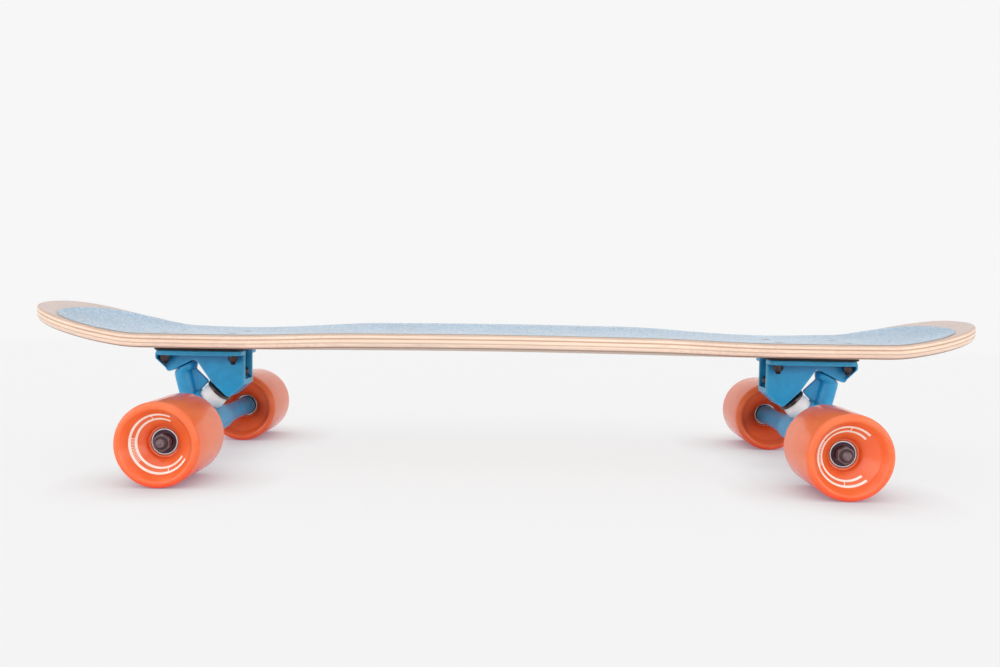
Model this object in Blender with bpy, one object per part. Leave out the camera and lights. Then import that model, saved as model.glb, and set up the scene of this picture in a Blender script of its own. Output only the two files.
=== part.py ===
# Mini longboard: a kicked plywood deck with grip, two reverse-kingpin trucks and four wheels.
# Metres, +Z up. The nose points along -X and the board stands on its wheels at Z = 0.
# The origin is on the ground under the middle of the deck.

import math

import bmesh
import bpy
from mathutils import Matrix, Vector

# Gap left between pieces that rest on or fit in each other.
CLEARANCE = 0.0003

# Deck outline, seen from above.
DECK_LENGTH = 0.851
BODY_HALF_WIDTH = 0.0965
NECK_HALF_WIDTH = 0.0635
LOBE_HALF_WIDTH = 0.0750
BODY_END = 0.128
NECK_AT = 0.263
LOBE_AT = 0.350
TIP_ROUNDNESS = 2.6

# Deck shape, seen from the side and from the end. The camber lies between the two trucks.
DECK_THICKNESS = 0.0120
DECK_EDGE_RADIUS = 0.0030
CONCAVE_DEPTH = 0.0065
FLAT_HALF_WIDTH = 0.020
CAMBER_HEIGHT = 0.0016
CAMBER_MARGIN = 0.006
NOSE_KICK_START = 0.3160
TAIL_KICK_START = 0.3325
BEND_RADIUS = 0.110
BEND_LENGTH = 0.0165
NOSE_KICK_RADIUS = 0.310
TAIL_KICK_RADIUS = 0.280

# Shares of the half width at which the deck's long rows of points lie.
ROW_SHARES = (1.0, 0.78, 0.52, 0.26)

# Grip sheet on the deck.
GRIP_THICKNESS = 0.0007
GRIP_SIDE_MARGIN = 0.0045
GRIP_TIP_MARGIN = 0.0190

# Wheels, bearings and axles.
WHEELBASE = 0.550
TRUCK_SHIFT = 0.0022
HANGER_WIDTH = 0.180
WHEEL_DIAMETER = 0.070
WHEEL_WIDTH = 0.060
WHEEL_LIP = 0.0040
LIP_ROUND = 0.0010
FACE_RADIUS = 0.0290
RIM_RADIUS = 0.0257
RIM_DEPTH = 0.0054
DISH_RADIUS = 0.0180
DISH_DEPTH = 0.0088
RECESS_RADIUS = 0.0130
BEARING_OUTER = 0.022
BEARING_WIDTH = 0.007
INNER_RACE = 0.0121
SPACER_LENGTH = 0.010
SPACER_DIAMETER = 0.010
SPEED_WASHER = 0.001
AXLE_DIAMETER = 0.008
AXLE_END = 0.0019
AXLE_NUT_WIDTH = 0.013
AXLE_NUT_HEIGHT = 0.0065

# Baseplate, riser and their bolts. Heights are above the axle, +X is towards the board's middle.
PLATE_TOP = 0.0671
PLATE_LENGTH = 0.0795
PLATE_WIDTH = 0.056
PLATE_THICKNESS = 0.0044
PLATE_CORNER = 0.008
PLATE_OFFSET = -0.0076
BASE_BODY_WIDTH = 0.0262
BASE_EDGE = 0.0012
END_WALL = 0.0016
END_WALL_DROP = 0.0075
END_WALL_MARGIN = 0.0020
CROTCH_RUN = 0.0034
HEEL_ANGLE = 40.0
POCKET_WIDTH = 0.0188
HOLES_LONG = 0.0635
HOLES_WIDE = 0.0413
RISER_THICKNESS = 0.0027
RISER_OVERHANG = 0.0018
BOLT_DIAMETER = 0.0048
BOLT_HEAD = 0.0092
BOLT_HEAD_DEPTH = 0.0026
BOLT_HOLE = 0.0056
BOLT_PROUD = 0.0025
LOCK_NUT_WIDTH = 0.0080
LOCK_NUT_HEIGHT = 0.0042
LOCK_NUT_COLLAR = 0.0014
LOCK_NUT_COLLAR_WIDTH = 0.0069

# Kingpin and what it clamps. Depths run along the kingpin from its seat under the baseplate.
SEAT_X = 0.0069
SEAT_Z = 0.0309
KINGPIN_ANGLE = 46.0
KINGPIN_DIAMETER = 0.0095
KINGPIN_NUT_WIDTH = 0.0143
KINGPIN_HEAD_HEIGHT = 0.0060
KINGPIN_NUT_HEIGHT = 0.0065
KINGPIN_PROUD = 0.0025
HEAD_SEAT_DEPTH = 0.022
SEAT_LOW_REACH = 0.0130
SEAT_HIGH_REACH = 0.0092
CUP_WASHER_DIAMETER = 0.0252
CUP_WASHER_FLAT = 0.0172
CUP_WASHER_SHOULDER = 0.0029
CUP_WASHER_HEIGHT = 0.0053
CUP_WASHER_WALL = 0.0013
BUSHING_DIAMETER = 0.0236
BUSHING_TOP_DIAMETER = 0.0216
BOARDSIDE_LENGTH = 0.0170
ROADSIDE_LENGTH = 0.0105
ROADSIDE_DIAMETER = 0.0216
ROADSIDE_END_DIAMETER = 0.0180
ROADSIDE_WASHER = 0.0202
ROADSIDE_WASHER_THICKNESS = 0.0018
STEER_ROOM = 0.0045

# Hanger and the pivot it turns on.
RING_WEB = 0.0078
RING_DIAMETER = 0.0290
RING_RIM = 0.0022
RING_BORE = 0.0140
STEER_ANGLE = 63.0
PIVOT_REACH = 0.0420
PIVOT_RADIUS = 0.0060
PIVOT_LENGTH = 0.0090
PIVOT_CUP_WALL = 0.0024
PIVOT_CUP_FLOOR = 0.0019
PIVOT_HOUSING_WALL = 0.0036
COLLAR_RADIUS = 0.0105
COLLAR_WAIST = 0.0084
COLLAR_HEIGHT = 0.0030
COLLAR_GAP = 0.0007
ARM_RADIUS = 0.0087
ARM_SHOULDER_RADIUS = 0.0097
ARM_END_RADIUS = 0.0096
ARM_END_FLARE = 0.0050
ARM_ROOT_RADIUS = 0.0122
NECK_WIDTH = 0.0180
NECK_MOUTH = 0.0244
NECK_TILT = 70.0
NECK_BEND_DEPTH = 0.0085
NECK_LEAN = 0.0052
NECK_FOOT_DROP = 0.0045
WEB_THICKNESS = 0.0052
WEB_DEPTH = 0.0050
WEB_REACH = 0.0335
WEB_CORNER = 0.0014
RIB_HALF_WIDTH = 0.0196
RIB_EDGE = 0.0030
RIB_FRONT = 0.0095
RIB_RISE = 0.0040

AXLE_HEIGHT = WHEEL_DIAMETER / 2
PLATE_BOTTOM = PLATE_TOP - PLATE_THICKNESS
DECK_BOTTOM = PLATE_TOP + RISER_THICKNESS + 2 * CLEARANCE
DECK_TOP = DECK_BOTTOM + DECK_THICKNESS
HUB_START = HANGER_WIDTH / 2 + CLEARANCE
HUB_LENGTH = 2 * SPEED_WASHER + 2 * BEARING_WIDTH + SPACER_LENGTH
WHEEL_CENTRE = HUB_START + HUB_LENGTH / 2
NUT_START = HUB_START + HUB_LENGTH + CLEARANCE
AXLE_LENGTH = 2 * (NUT_START + AXLE_NUT_HEIGHT + AXLE_END)

PIN_DIRECTION = Vector((-math.cos(math.radians(KINGPIN_ANGLE)), 0, -math.sin(math.radians(KINGPIN_ANGLE))))
PIN_ACROSS = Vector((-PIN_DIRECTION.z, 0, PIN_DIRECTION.x))
PIN_SEAT = Vector((SEAT_X, 0, SEAT_Z))
CUP_FLOOR = CLEARANCE + CUP_WASHER_WALL
BOARDSIDE_START = CUP_FLOOR + CLEARANCE
RING_TOP = BOARDSIDE_START + BOARDSIDE_LENGTH + CLEARANCE
RING_BOTTOM = RING_TOP + RING_WEB
ROADSIDE_START = RING_BOTTOM + CLEARANCE
ROADSIDE_WASHER_START = ROADSIDE_START + ROADSIDE_LENGTH + CLEARANCE
PIN_NUT_START = ROADSIDE_WASHER_START + ROADSIDE_WASHER_THICKNESS + CLEARANCE
PIN_END = PIN_NUT_START + KINGPIN_NUT_HEIGHT + KINGPIN_PROUD
STEER_UP = Vector((-math.cos(math.radians(STEER_ANGLE)), 0, math.sin(math.radians(STEER_ANGLE))))
STEER_ACROSS = Vector((-STEER_UP.z, 0, STEER_UP.x))
RING_CENTRE = PIN_SEAT + PIN_DIRECTION * (RING_TOP + RING_BOTTOM) / 2
PIVOT_MOUTH = RING_CENTRE + STEER_UP * PIVOT_REACH
PIVOT_CUP_RADIUS = PIVOT_RADIUS + CLEARANCE + PIVOT_CUP_WALL
PIVOT_BORE_RADIUS = PIVOT_CUP_RADIUS + CLEARANCE
PIVOT_CUP_LENGTH = PIVOT_LENGTH + CLEARANCE + PIVOT_CUP_FLOOR
CUP_FALL = (CUP_WASHER_SHOULDER - CLEARANCE) / (CUP_WASHER_DIAMETER / 2 - CUP_WASHER_FLAT / 2)
RISER_INNER_END = WHEELBASE / 2 - PLATE_OFFSET - PLATE_LENGTH / 2 - RISER_OVERHANG
CAMBER_END = RISER_INNER_END - abs(TRUCK_SHIFT) - CAMBER_MARGIN


# Scene and mesh helpers.

def clear_scene():
    for item in list(bpy.data.objects):
        bpy.data.objects.remove(item)


def finish(name, colour, roughness, metallic=0.0):
    material = bpy.data.materials.new(name)
    material.use_nodes = True
    shader = material.node_tree.nodes["Principled BSDF"]
    shader.inputs["Base Color"].default_value = (*colour, 1)
    shader.inputs["Roughness"].default_value = roughness
    shader.inputs["Metallic"].default_value = metallic
    return material


def solid(name, points, faces):
    mesh = bpy.data.meshes.new(name)
    mesh.from_pydata([tuple(point) for point in points], [], faces)
    work = bmesh.new()
    work.from_mesh(mesh)
    bmesh.ops.recalc_face_normals(work, faces=work.faces)
    work.to_mesh(mesh)
    work.free()
    item = bpy.data.objects.new(name, mesh)
    bpy.context.scene.collection.objects.link(item)
    return item


def stacked(name, loops, closed=False):
    # Skins a list of equal loops. A closed stack joins the last loop to the first, as a ring does.
    count = len(loops[0])
    points = [point for loop in loops for point in loop]
    faces = []
    for row in range(len(loops) if closed else len(loops) - 1):
        first, second = row * count, (row + 1) % len(loops) * count
        for at in range(count):
            after = (at + 1) % count
            faces.append((first + at, first + after, second + after, second + at))
    if not closed:
        faces.append(tuple(range(count))[::-1])
        faces.append(tuple((len(loops) - 1) * count + at for at in range(count)))
    return solid(name, points, faces)


def axis_frame(direction):
    # Two unit vectors across a direction. The first lies in the XZ plane, or points down.
    direction = Vector(direction).normalized()
    first = Vector((0, 0, -1)) if abs(direction.y) > 0.5 else Vector((-direction.z, 0, direction.x))
    return first, direction.cross(first)


def circle(centre, direction, radius, count, on_flat=False):
    # The first point is a corner. With on_flat the first side is a flat that touches the true circle.
    first, second = axis_frame(direction)
    turn = math.tau / count
    start = turn / 2 if on_flat else 0.0
    reach = radius / math.cos(turn / 2) if on_flat else radius
    angles = [start + turn * at for at in range(count)]
    return [centre + first * reach * math.cos(angle) + second * reach * math.sin(angle) for angle in angles]


def hexagon(centre, direction, width):
    # Twelve points: the corners and the middles of the flats.
    first, second = axis_frame(direction)
    corner = width / math.sqrt(3)
    points = []
    for at in range(12):
        radius = corner if at % 2 == 0 else width / 2
        angle = math.tau * at / 12
        points.append(centre + first * radius * math.cos(angle) + second * radius * math.sin(angle))
    return points


def turned(name, profile, origin, direction, count, closed=False, on_flat=False):
    # A turned body. The profile lists (radius, distance along the axis).
    direction = Vector(direction).normalized()
    loops = [circle(origin + direction * along, direction, radius, count, on_flat)
             for radius, along in profile]
    return stacked(name, loops, closed)


def prism(name, outline, half_width, edge=0.0):
    # An outline in the XZ plane, extruded both ways along Y.
    loops = [[Vector((x, side * half_width, z)) for x, z in outline] for side in (-1, 1)]
    item = stacked(name, loops)
    if edge:
        work = bmesh.new()
        work.from_mesh(item.data)
        rim = [line for line in work.edges
               if abs(line.verts[0].co.y - line.verts[1].co.y) < CLEARANCE]
        bmesh.ops.bevel(work, geom=rim, offset=edge, segments=1, affect="EDGES")
        work.to_mesh(item.data)
        work.free()
    return item


def rounded(corners, steps=4):
    # Replaces each (x, z, radius) corner by an arc.
    outline = []
    for at, (x, z, radius) in enumerate(corners):
        here = Vector((x, z))
        before = Vector(corners[at - 1][:2]) - here
        after = Vector(corners[(at + 1) % len(corners)][:2]) - here
        if not radius:
            outline.append((x, z))
            continue
        half = before.angle(after) / 2
        back = radius / math.tan(half)
        centre = here + (before.normalized() + after.normalized()).normalized() * radius / math.sin(half)
        start = here + before.normalized() * back - centre
        end = here + after.normalized() * back - centre
        sweep = start.angle_signed(end)
        for step in range(steps + 1):
            spoke = start.copy()
            spoke.rotate(Matrix.Rotation(-sweep * step / steps, 2))
            outline.append(tuple(centre + spoke))
    return outline


def rounded_plate(name, length, width, corner, bottom, top, offset):
    # A flat plate with round corners, lying in the XY plane.
    corners = [(offset + sx * length / 2, sy * width / 2, corner)
               for sx, sy in ((-1, -1), (1, -1), (1, 1), (-1, 1))]
    outline = rounded(corners)
    return stacked(name, [[Vector((x, y, z)) for x, y in outline] for z in (bottom, top)])


def combine(body, tools, operation):
    # Joins or cuts the body with each tool in turn, and removes the tools.
    for tool in tools:
        modifier = body.modifiers.new(tool.name, "BOOLEAN")
        modifier.operation = operation
        modifier.solver = "EXACT"
        modifier.object = tool
        graph = bpy.context.evaluated_depsgraph_get()
        mesh = bpy.data.meshes.new_from_object(body.evaluated_get(graph))
        body.modifiers.clear()
        body.data = mesh
        bpy.data.objects.remove(tool)
    return body


def piece(item, name, material, origin=Vector((0, 0, 0)), parent=None):
    # Names a finished body, moves its origin to a point and hangs it on its parent.
    mesh = item.data
    mesh.transform(Matrix.Translation(-origin))
    mesh.materials.clear()
    mesh.materials.append(material)
    mesh.shade_smooth()
    mesh.set_sharp_from_angle(angle=math.radians(32))
    item.name = mesh.name = name
    item.location = origin
    item.parent = parent
    return item


def copy_of(item, name, parent, location=None, turned_round=False):
    # Another object with the same mesh, if need be turned half round about Z.
    twin = bpy.data.objects.new(name, item.data)
    bpy.context.scene.collection.objects.link(twin)
    twin.parent = parent
    twin.location = item.location if location is None else location
    if turned_round:
        twin.rotation_euler.z = math.pi
    return twin


def marker(name, location, parent=None, turned_round=False):
    empty = bpy.data.objects.new(name, None)
    bpy.context.scene.collection.objects.link(empty)
    empty.location = location
    empty.parent = parent
    if turned_round:
        empty.rotation_euler.z = math.pi
    return empty


# Deck and grip: one moulded surface, cut to an outline.

def ease(low, high, share):
    return low + (high - low) * share * share * (3 - 2 * share)


def half_width(x, side_margin=0.0):
    reach = abs(x)
    if reach <= BODY_END:
        width = BODY_HALF_WIDTH
    elif reach <= NECK_AT:
        width = ease(BODY_HALF_WIDTH, NECK_HALF_WIDTH, (reach - BODY_END) / (NECK_AT - BODY_END))
    else:
        width = ease(NECK_HALF_WIDTH, LOBE_HALF_WIDTH, (reach - NECK_AT) / (LOBE_AT - NECK_AT))
    return width - side_margin


def kick_rise(x):
    start, radius = (NOSE_KICK_START, NOSE_KICK_RADIUS) if x < 0 else (TAIL_KICK_START, TAIL_KICK_RADIUS)
    run = abs(x) - start
    if run <= 0:
        return 0.0
    bend = min(run, BEND_LENGTH)
    slope = BEND_LENGTH / BEND_RADIUS
    beyond = max(run - BEND_LENGTH, 0.0)
    return bend * bend / (2 * BEND_RADIUS) + slope * beyond + beyond * beyond / (2 * radius)


def camber(x):
    # A low arch that runs out level before it reaches the trucks.
    share = min(abs(x) / CAMBER_END, 1.0)
    return CAMBER_HEIGHT * (1 - share * share) ** 2


def deck_underside(x, y):
    climb = max(abs(y) - FLAT_HALF_WIDTH, 0.0) / (BODY_HALF_WIDTH - FLAT_HALF_WIDTH)
    return AXLE_HEIGHT + DECK_BOTTOM + kick_rise(x) + camber(x) + CONCAVE_DEPTH * climb * climb


def deck_stations():
    # Where the cross rows lie, from the nose lobe to the tail lobe. The two middle rows are level.
    stations = [BODY_END * step / 7 for step in (1, 3, 5, 7)]
    stations += [BODY_END + (NECK_AT - BODY_END) * step / 7 for step in range(1, 8)]
    stations += [NECK_AT + (LOBE_AT - NECK_AT) * step / 6 for step in range(1, 7)]
    return [-x for x in reversed(stations)] + stations


def right_side(side_margin=0.0, tip_margin=0.0, tip_steps=8):
    # Outline points on the +Y side, from the nose tip to the tail tip.
    reach = DECK_LENGTH / 2 - tip_margin - LOBE_AT
    lobe = LOBE_HALF_WIDTH - side_margin
    power = 2 / TIP_ROUNDNESS
    tip = []
    for step in range(1, tip_steps + 1):
        angle = math.pi / 2 * step / tip_steps
        run = LOBE_AT + reach * math.sin(angle) ** power
        tip.append((run, lobe * max(math.cos(angle), 0.0) ** power if step < tip_steps else 0.0))
    middle = [(x, half_width(x, side_margin)) for x in deck_stations()]
    return [(-x, y) for x, y in reversed(tip)] + middle + tip


def inset_outline(side, inset):
    # Moves the outline inwards by a distance, keeping the two tips on the centre line.
    moved = []
    for at, (x, y) in enumerate(side):
        before = side[at - 1] if at else (side[1][0], -side[1][1])
        after = side[at + 1] if at + 1 < len(side) else (side[-2][0], -side[-2][1])
        along = Vector((after[0] - before[0], after[1] - before[1])).normalized()
        moved.append((x + along.y * inset, max(y - along.x * inset, 0.0)))
    moved[0] = (moved[0][0], 0.0)
    moved[-1] = (moved[-1][0], 0.0)
    return moved


def moulded_sheet(name, side, base, levels):
    # A sheet that follows the deck's moulded surface. Levels list (inset, height above the underside).
    points, faces, rings = [], [], []

    def add(x, y, height):
        points.append((x, y, deck_underside(x, y) + base + height))
        return len(points) - 1

    for inset, height in levels:
        outline = inset_outline(side, inset)
        ring = [add(x, y, height) for x, y in outline]
        ring += [add(x, -y, height) for x, y in outline[-2:0:-1]]
        rings.append(ring)
    count = len(rings[0])
    for lower, upper in zip(rings, rings[1:]):
        for at in range(count):
            after = (at + 1) % count
            faces.append((lower[at], lower[after], upper[after], upper[at]))

    inner_shares = ROW_SHARES[1:]
    for ring, (inset, height) in ((rings[0], levels[0]), (rings[-1], levels[-1])):
        outline = inset_outline(side, inset)
        rows = []
        for at in range(1, len(outline) - 1):
            x, y = outline[at]
            row = [ring[at]]
            row += [add(x, y * share, height) for share in inner_shares]
            row += [add(x, -y * share, height) for share in reversed(inner_shares)]
            row.append(ring[count - at])
            rows.append(row)
        for first, second in zip(rows, rows[1:]):
            for at in range(len(first) - 1):
                faces.append((first[at], first[at + 1], second[at + 1], second[at]))
        for tip, row in ((ring[0], rows[0]), (ring[len(outline) - 1], rows[-1])):
            for at in range(len(row) - 1):
                faces.append((tip, row[at], row[at + 1]))
    return solid(name, points, faces)


def bolt_places():
    # The eight mounting holes, as (truck, end, side) names and points.
    places = []
    for truck, sign in (("front", -1), ("rear", 1)):
        centre = TRUCK_SHIFT + sign * (WHEELBASE / 2 - PLATE_OFFSET)
        for end, along in (("outer", 1), ("inner", -1)):
            for side, across in (("left", -1), ("right", 1)):
                x = centre + sign * along * HOLES_LONG / 2
                places.append((f"{truck}_{end}_{side}", x, across * HOLES_WIDE / 2))
    return places


def make_deck(wood):
    levels = ((DECK_EDGE_RADIUS, 0.0), (0.0, DECK_EDGE_RADIUS),
              (0.0, DECK_THICKNESS - DECK_EDGE_RADIUS), (DECK_EDGE_RADIUS, DECK_THICKNESS))
    deck = moulded_sheet("deck", right_side(), 0.0, levels)
    top = AXLE_HEIGHT + DECK_TOP
    sink = BOLT_HEAD_DEPTH + CLEARANCE
    cutters = []
    for name, x, y in bolt_places():
        profile = [(BOLT_HOLE / 2, -DECK_THICKNESS - sink), (BOLT_HOLE / 2, -sink),
                   (BOLT_HEAD / 2 + CLEARANCE, -CLEARANCE / 2), (BOLT_HEAD / 2 + CLEARANCE, sink)]
        cutters.append(turned("sink_" + name, profile, Vector((x, y, top)), (0, 0, 1), 10))
    return piece(combine(deck, cutters, "DIFFERENCE"), "deck", wood)


def make_grip(tape):
    side = right_side(GRIP_SIDE_MARGIN, GRIP_TIP_MARGIN)
    base = DECK_THICKNESS + CLEARANCE
    grip = moulded_sheet("griptape", side, base, ((0.0, 0.0), (0.0, GRIP_THICKNESS)))
    cutters = []
    for name, x, y in bolt_places():
        origin = Vector((x, y, AXLE_HEIGHT + DECK_TOP))
        head = BOLT_HEAD / 2 + CLEARANCE
        profile = [(head, -BOLT_HEAD_DEPTH), (head, BOLT_HEAD_DEPTH)]
        cutters.append(turned("punch_" + name, profile, origin, (0, 0, 1), 10))
    return piece(combine(grip, cutters, "DIFFERENCE"), "griptape", tape)


# Mounting hardware. Heights are above the axle, as in the trucks.

def hole_cutters(name, radius, bottom, top):
    cutters = []
    for along in (-1, 1):
        for across in (-1, 1):
            origin = Vector((PLATE_OFFSET + along * HOLES_LONG / 2, across * HOLES_WIDE / 2, 0))
            cutters.append(turned(f"{name}_{along}_{across}", [(radius, bottom), (radius, top)],
                                  origin, (0, 0, 1), 10))
    return cutters


def make_riser(rubber, truck):
    bottom = PLATE_TOP + CLEARANCE
    riser = rounded_plate("riser", PLATE_LENGTH + 2 * RISER_OVERHANG, PLATE_WIDTH + RISER_OVERHANG,
                          PLATE_CORNER + RISER_OVERHANG, bottom, bottom + RISER_THICKNESS, PLATE_OFFSET)
    cutters = hole_cutters("riser_hole", BOLT_HOLE / 2, bottom - RISER_THICKNESS,
                           bottom + 2 * RISER_THICKNESS)
    return piece(combine(riser, cutters, "DIFFERENCE"), "front_riser_pad", rubber, parent=truck)


def make_bolt(steel):
    # Countersunk bolt, its origin where the deck's top is.
    radius = BOLT_DIAMETER / 2
    nut_bottom = PLATE_BOTTOM - CLEARANCE - LOCK_NUT_HEIGHT - LOCK_NUT_COLLAR
    end = nut_bottom - BOLT_PROUD - DECK_TOP
    profile = [(radius - CLEARANCE, end), (radius, end + CLEARANCE), (radius, -BOLT_HEAD_DEPTH),
               (BOLT_HEAD / 2, -CLEARANCE), (BOLT_HEAD / 2, GRIP_THICKNESS)]
    return piece(turned("bolt", profile, Vector((0, 0, 0)), (0, 0, 1), 8), "bolt", steel)


def make_lock_nut(steel):
    # Hexagon nut with a round collar, its origin where it meets the baseplate.
    down = Vector((0, 0, -1))
    hole = BOLT_HOLE / 2
    collar = LOCK_NUT_COLLAR_WIDTH / 2
    tip = LOCK_NUT_HEIGHT + LOCK_NUT_COLLAR
    chamfer = LOCK_NUT_COLLAR / 3
    loops = [circle(down * 0, down, hole, 12), hexagon(down * 0, down, LOCK_NUT_WIDTH),
             hexagon(down * LOCK_NUT_HEIGHT, down, LOCK_NUT_WIDTH),
             circle(down * (LOCK_NUT_HEIGHT + chamfer), down, collar, 12),
             circle(down * tip, down, collar - chamfer, 12), circle(down * tip, down, hole, 12)]
    return piece(stacked("lock_nut", loops, closed=True), "lock_nut", steel)


# Trucks. Their frame has its origin on the axle's middle and +X towards the board's middle.

def on_pin(depth, across=0.0):
    return PIN_SEAT + PIN_DIRECTION * depth + PIN_ACROSS * across


def on_steer(height, across=0.0):
    return PIVOT_MOUTH + STEER_UP * height + STEER_ACROSS * across


def end_wall(outer, lobe):
    # The wall across the outer end: as wide as the plate at its top, drawn in to the housing below.
    wide, narrow = PLATE_WIDTH / 2 - END_WALL_MARGIN, BASE_BODY_WIDTH / 2 - BASE_EDGE
    heights = ((outer, PLATE_TOP - PLATE_THICKNESS / 2, wide), (outer, PLATE_TOP - END_WALL_DROP, wide),
               (lobe.x, lobe.z + END_WALL, narrow))
    loops = [[Vector((x + along, across, z)) for along, across in
              ((0, -half), (END_WALL, -half), (END_WALL, half), (0, half))] for x, z, half in heights]
    return stacked("end_wall", loops)


def make_baseplate(paint, truck):
    outer = PLATE_OFFSET - PLATE_LENGTH / 2
    inner = PLATE_OFFSET + PLATE_LENGTH / 2
    face = outer + BASE_EDGE / 2
    housing = PIVOT_BORE_RADIUS + PIVOT_HOUSING_WALL
    lobe, crotch = on_steer(0, housing + BASE_EDGE), on_steer(0, -housing)
    seat_low, seat_high = on_pin(0, SEAT_LOW_REACH), on_pin(0, -SEAT_HIGH_REACH)
    top = PLATE_TOP - PLATE_THICKNESS / 3
    heel = seat_low.z + (inner - seat_low.x) * math.tan(math.radians(HEEL_ANGLE))
    corners = [(face, top, 0), (face, PLATE_TOP - END_WALL_DROP, 3 * BASE_EDGE),
               (lobe.x, lobe.z, 2 * BASE_EDGE), (crotch.x, crotch.z, 2 * BASE_EDGE),
               (crotch.x + CROTCH_RUN, crotch.z, BASE_EDGE), (seat_high.x, seat_high.z, 5 * BASE_EDGE),
               (seat_low.x, seat_low.z, 3 * BASE_EDGE), (inner - CLEARANCE, heel, 2 * BASE_EDGE),
               (inner - CLEARANCE, top, 0)]
    body = prism("baseplate", rounded(corners, 3), BASE_BODY_WIDTH / 2, BASE_EDGE)
    plate = rounded_plate("plate", PLATE_LENGTH, PLATE_WIDTH, PLATE_CORNER, PLATE_BOTTOM, PLATE_TOP,
                          PLATE_OFFSET)
    body = combine(body, [plate, end_wall(face + CLEARANCE, lobe)], "UNION")

    # The head pocket opens through the inner end, up to the riser.
    pin_radius = KINGPIN_DIAMETER / 2 + CLEARANCE
    room = KINGPIN_NUT_WIDTH / math.sqrt(3) + 6 * CLEARANCE
    above, beyond = PLATE_TOP + PLATE_THICKNESS, inner + PLATE_THICKNESS
    high, low = on_pin(-HEAD_SEAT_DEPTH, -room), on_pin(-HEAD_SEAT_DEPTH, room)
    bend = high - PIN_DIRECTION * ((above - high.z) / -PIN_DIRECTION.z)
    pocket = prism("pocket", [(high.x, high.z), (low.x, low.z), (beyond, low.z), (beyond, above),
                              (bend.x, above)], POCKET_WIDTH / 2)
    pin_bore = turned("pin_bore", [(pin_radius, -HEAD_SEAT_DEPTH - KINGPIN_DIAMETER),
                                   (pin_radius, KINGPIN_DIAMETER)], PIN_SEAT, PIN_DIRECTION, 12)
    pivot_bore = turned("pivot_bore", [(PIVOT_BORE_RADIUS, -PIVOT_BORE_RADIUS),
                                       (PIVOT_BORE_RADIUS, PIVOT_CUP_LENGTH + CLEARANCE)],
                        PIVOT_MOUTH, STEER_UP, 18)
    holes = hole_cutters("plate_hole", BOLT_HOLE / 2, PLATE_BOTTOM - PLATE_THICKNESS,
                         PLATE_TOP + PLATE_THICKNESS)
    body = combine(body, [pocket, pin_bore, pivot_bore] + holes, "DIFFERENCE")
    return piece(body, "front_baseplate", paint, parent=truck)


def make_pivot_cup(plastic, truck):
    inside, lip = PIVOT_RADIUS + CLEARANCE, CLEARANCE
    shoulder = PIVOT_LENGTH - PIVOT_RADIUS
    profile = [(inside * math.sin(math.radians(angle)),
                shoulder + inside * math.cos(math.radians(angle))) for angle in (12, 38, 64, 90)]
    profile += [(inside, lip), (PIVOT_CUP_RADIUS, lip), (PIVOT_CUP_RADIUS, PIVOT_CUP_LENGTH)]
    return piece(turned("pivot_cup", profile, PIVOT_MOUTH, STEER_UP, 16), "front_pivot_cup", plastic,
                 parent=truck)


def make_kingpin(steel, truck):
    start = -HEAD_SEAT_DEPTH - CLEARANCE
    radius = KINGPIN_DIAMETER / 2
    top = start - KINGPIN_HEAD_HEIGHT
    chamfer = KINGPIN_NUT_WIDTH / 16
    loops = [circle(on_pin(top), PIN_DIRECTION, KINGPIN_NUT_WIDTH / 2 - chamfer, 12),
             hexagon(on_pin(top + chamfer), PIN_DIRECTION, KINGPIN_NUT_WIDTH),
             hexagon(on_pin(start), PIN_DIRECTION, KINGPIN_NUT_WIDTH),
             circle(on_pin(start), PIN_DIRECTION, radius, 12),
             circle(on_pin(PIN_END - chamfer), PIN_DIRECTION, radius, 12),
             circle(on_pin(PIN_END), PIN_DIRECTION, radius - chamfer, 12)]
    return piece(stacked("kingpin", loops), "front_kingpin", steel, parent=truck)


def make_hex_nut(name, origin, direction, width, height, hole):
    # A plain nut with both rims chamfered.
    chamfer = width / 16
    ends = [(0.0, hole / 2, 0), (0.0, width / 2 - chamfer / 2, 0), (chamfer, width, 1),
            (height - chamfer, width, 1), (height, width / 2 - chamfer / 2, 0), (height, hole / 2, 0)]
    loops = []
    for along, size, is_hexagon in ends:
        centre = origin + direction * along
        loops.append(hexagon(centre, direction, size) if is_hexagon else circle(centre, direction, size, 12))
    return stacked(name, loops, closed=True)


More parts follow.
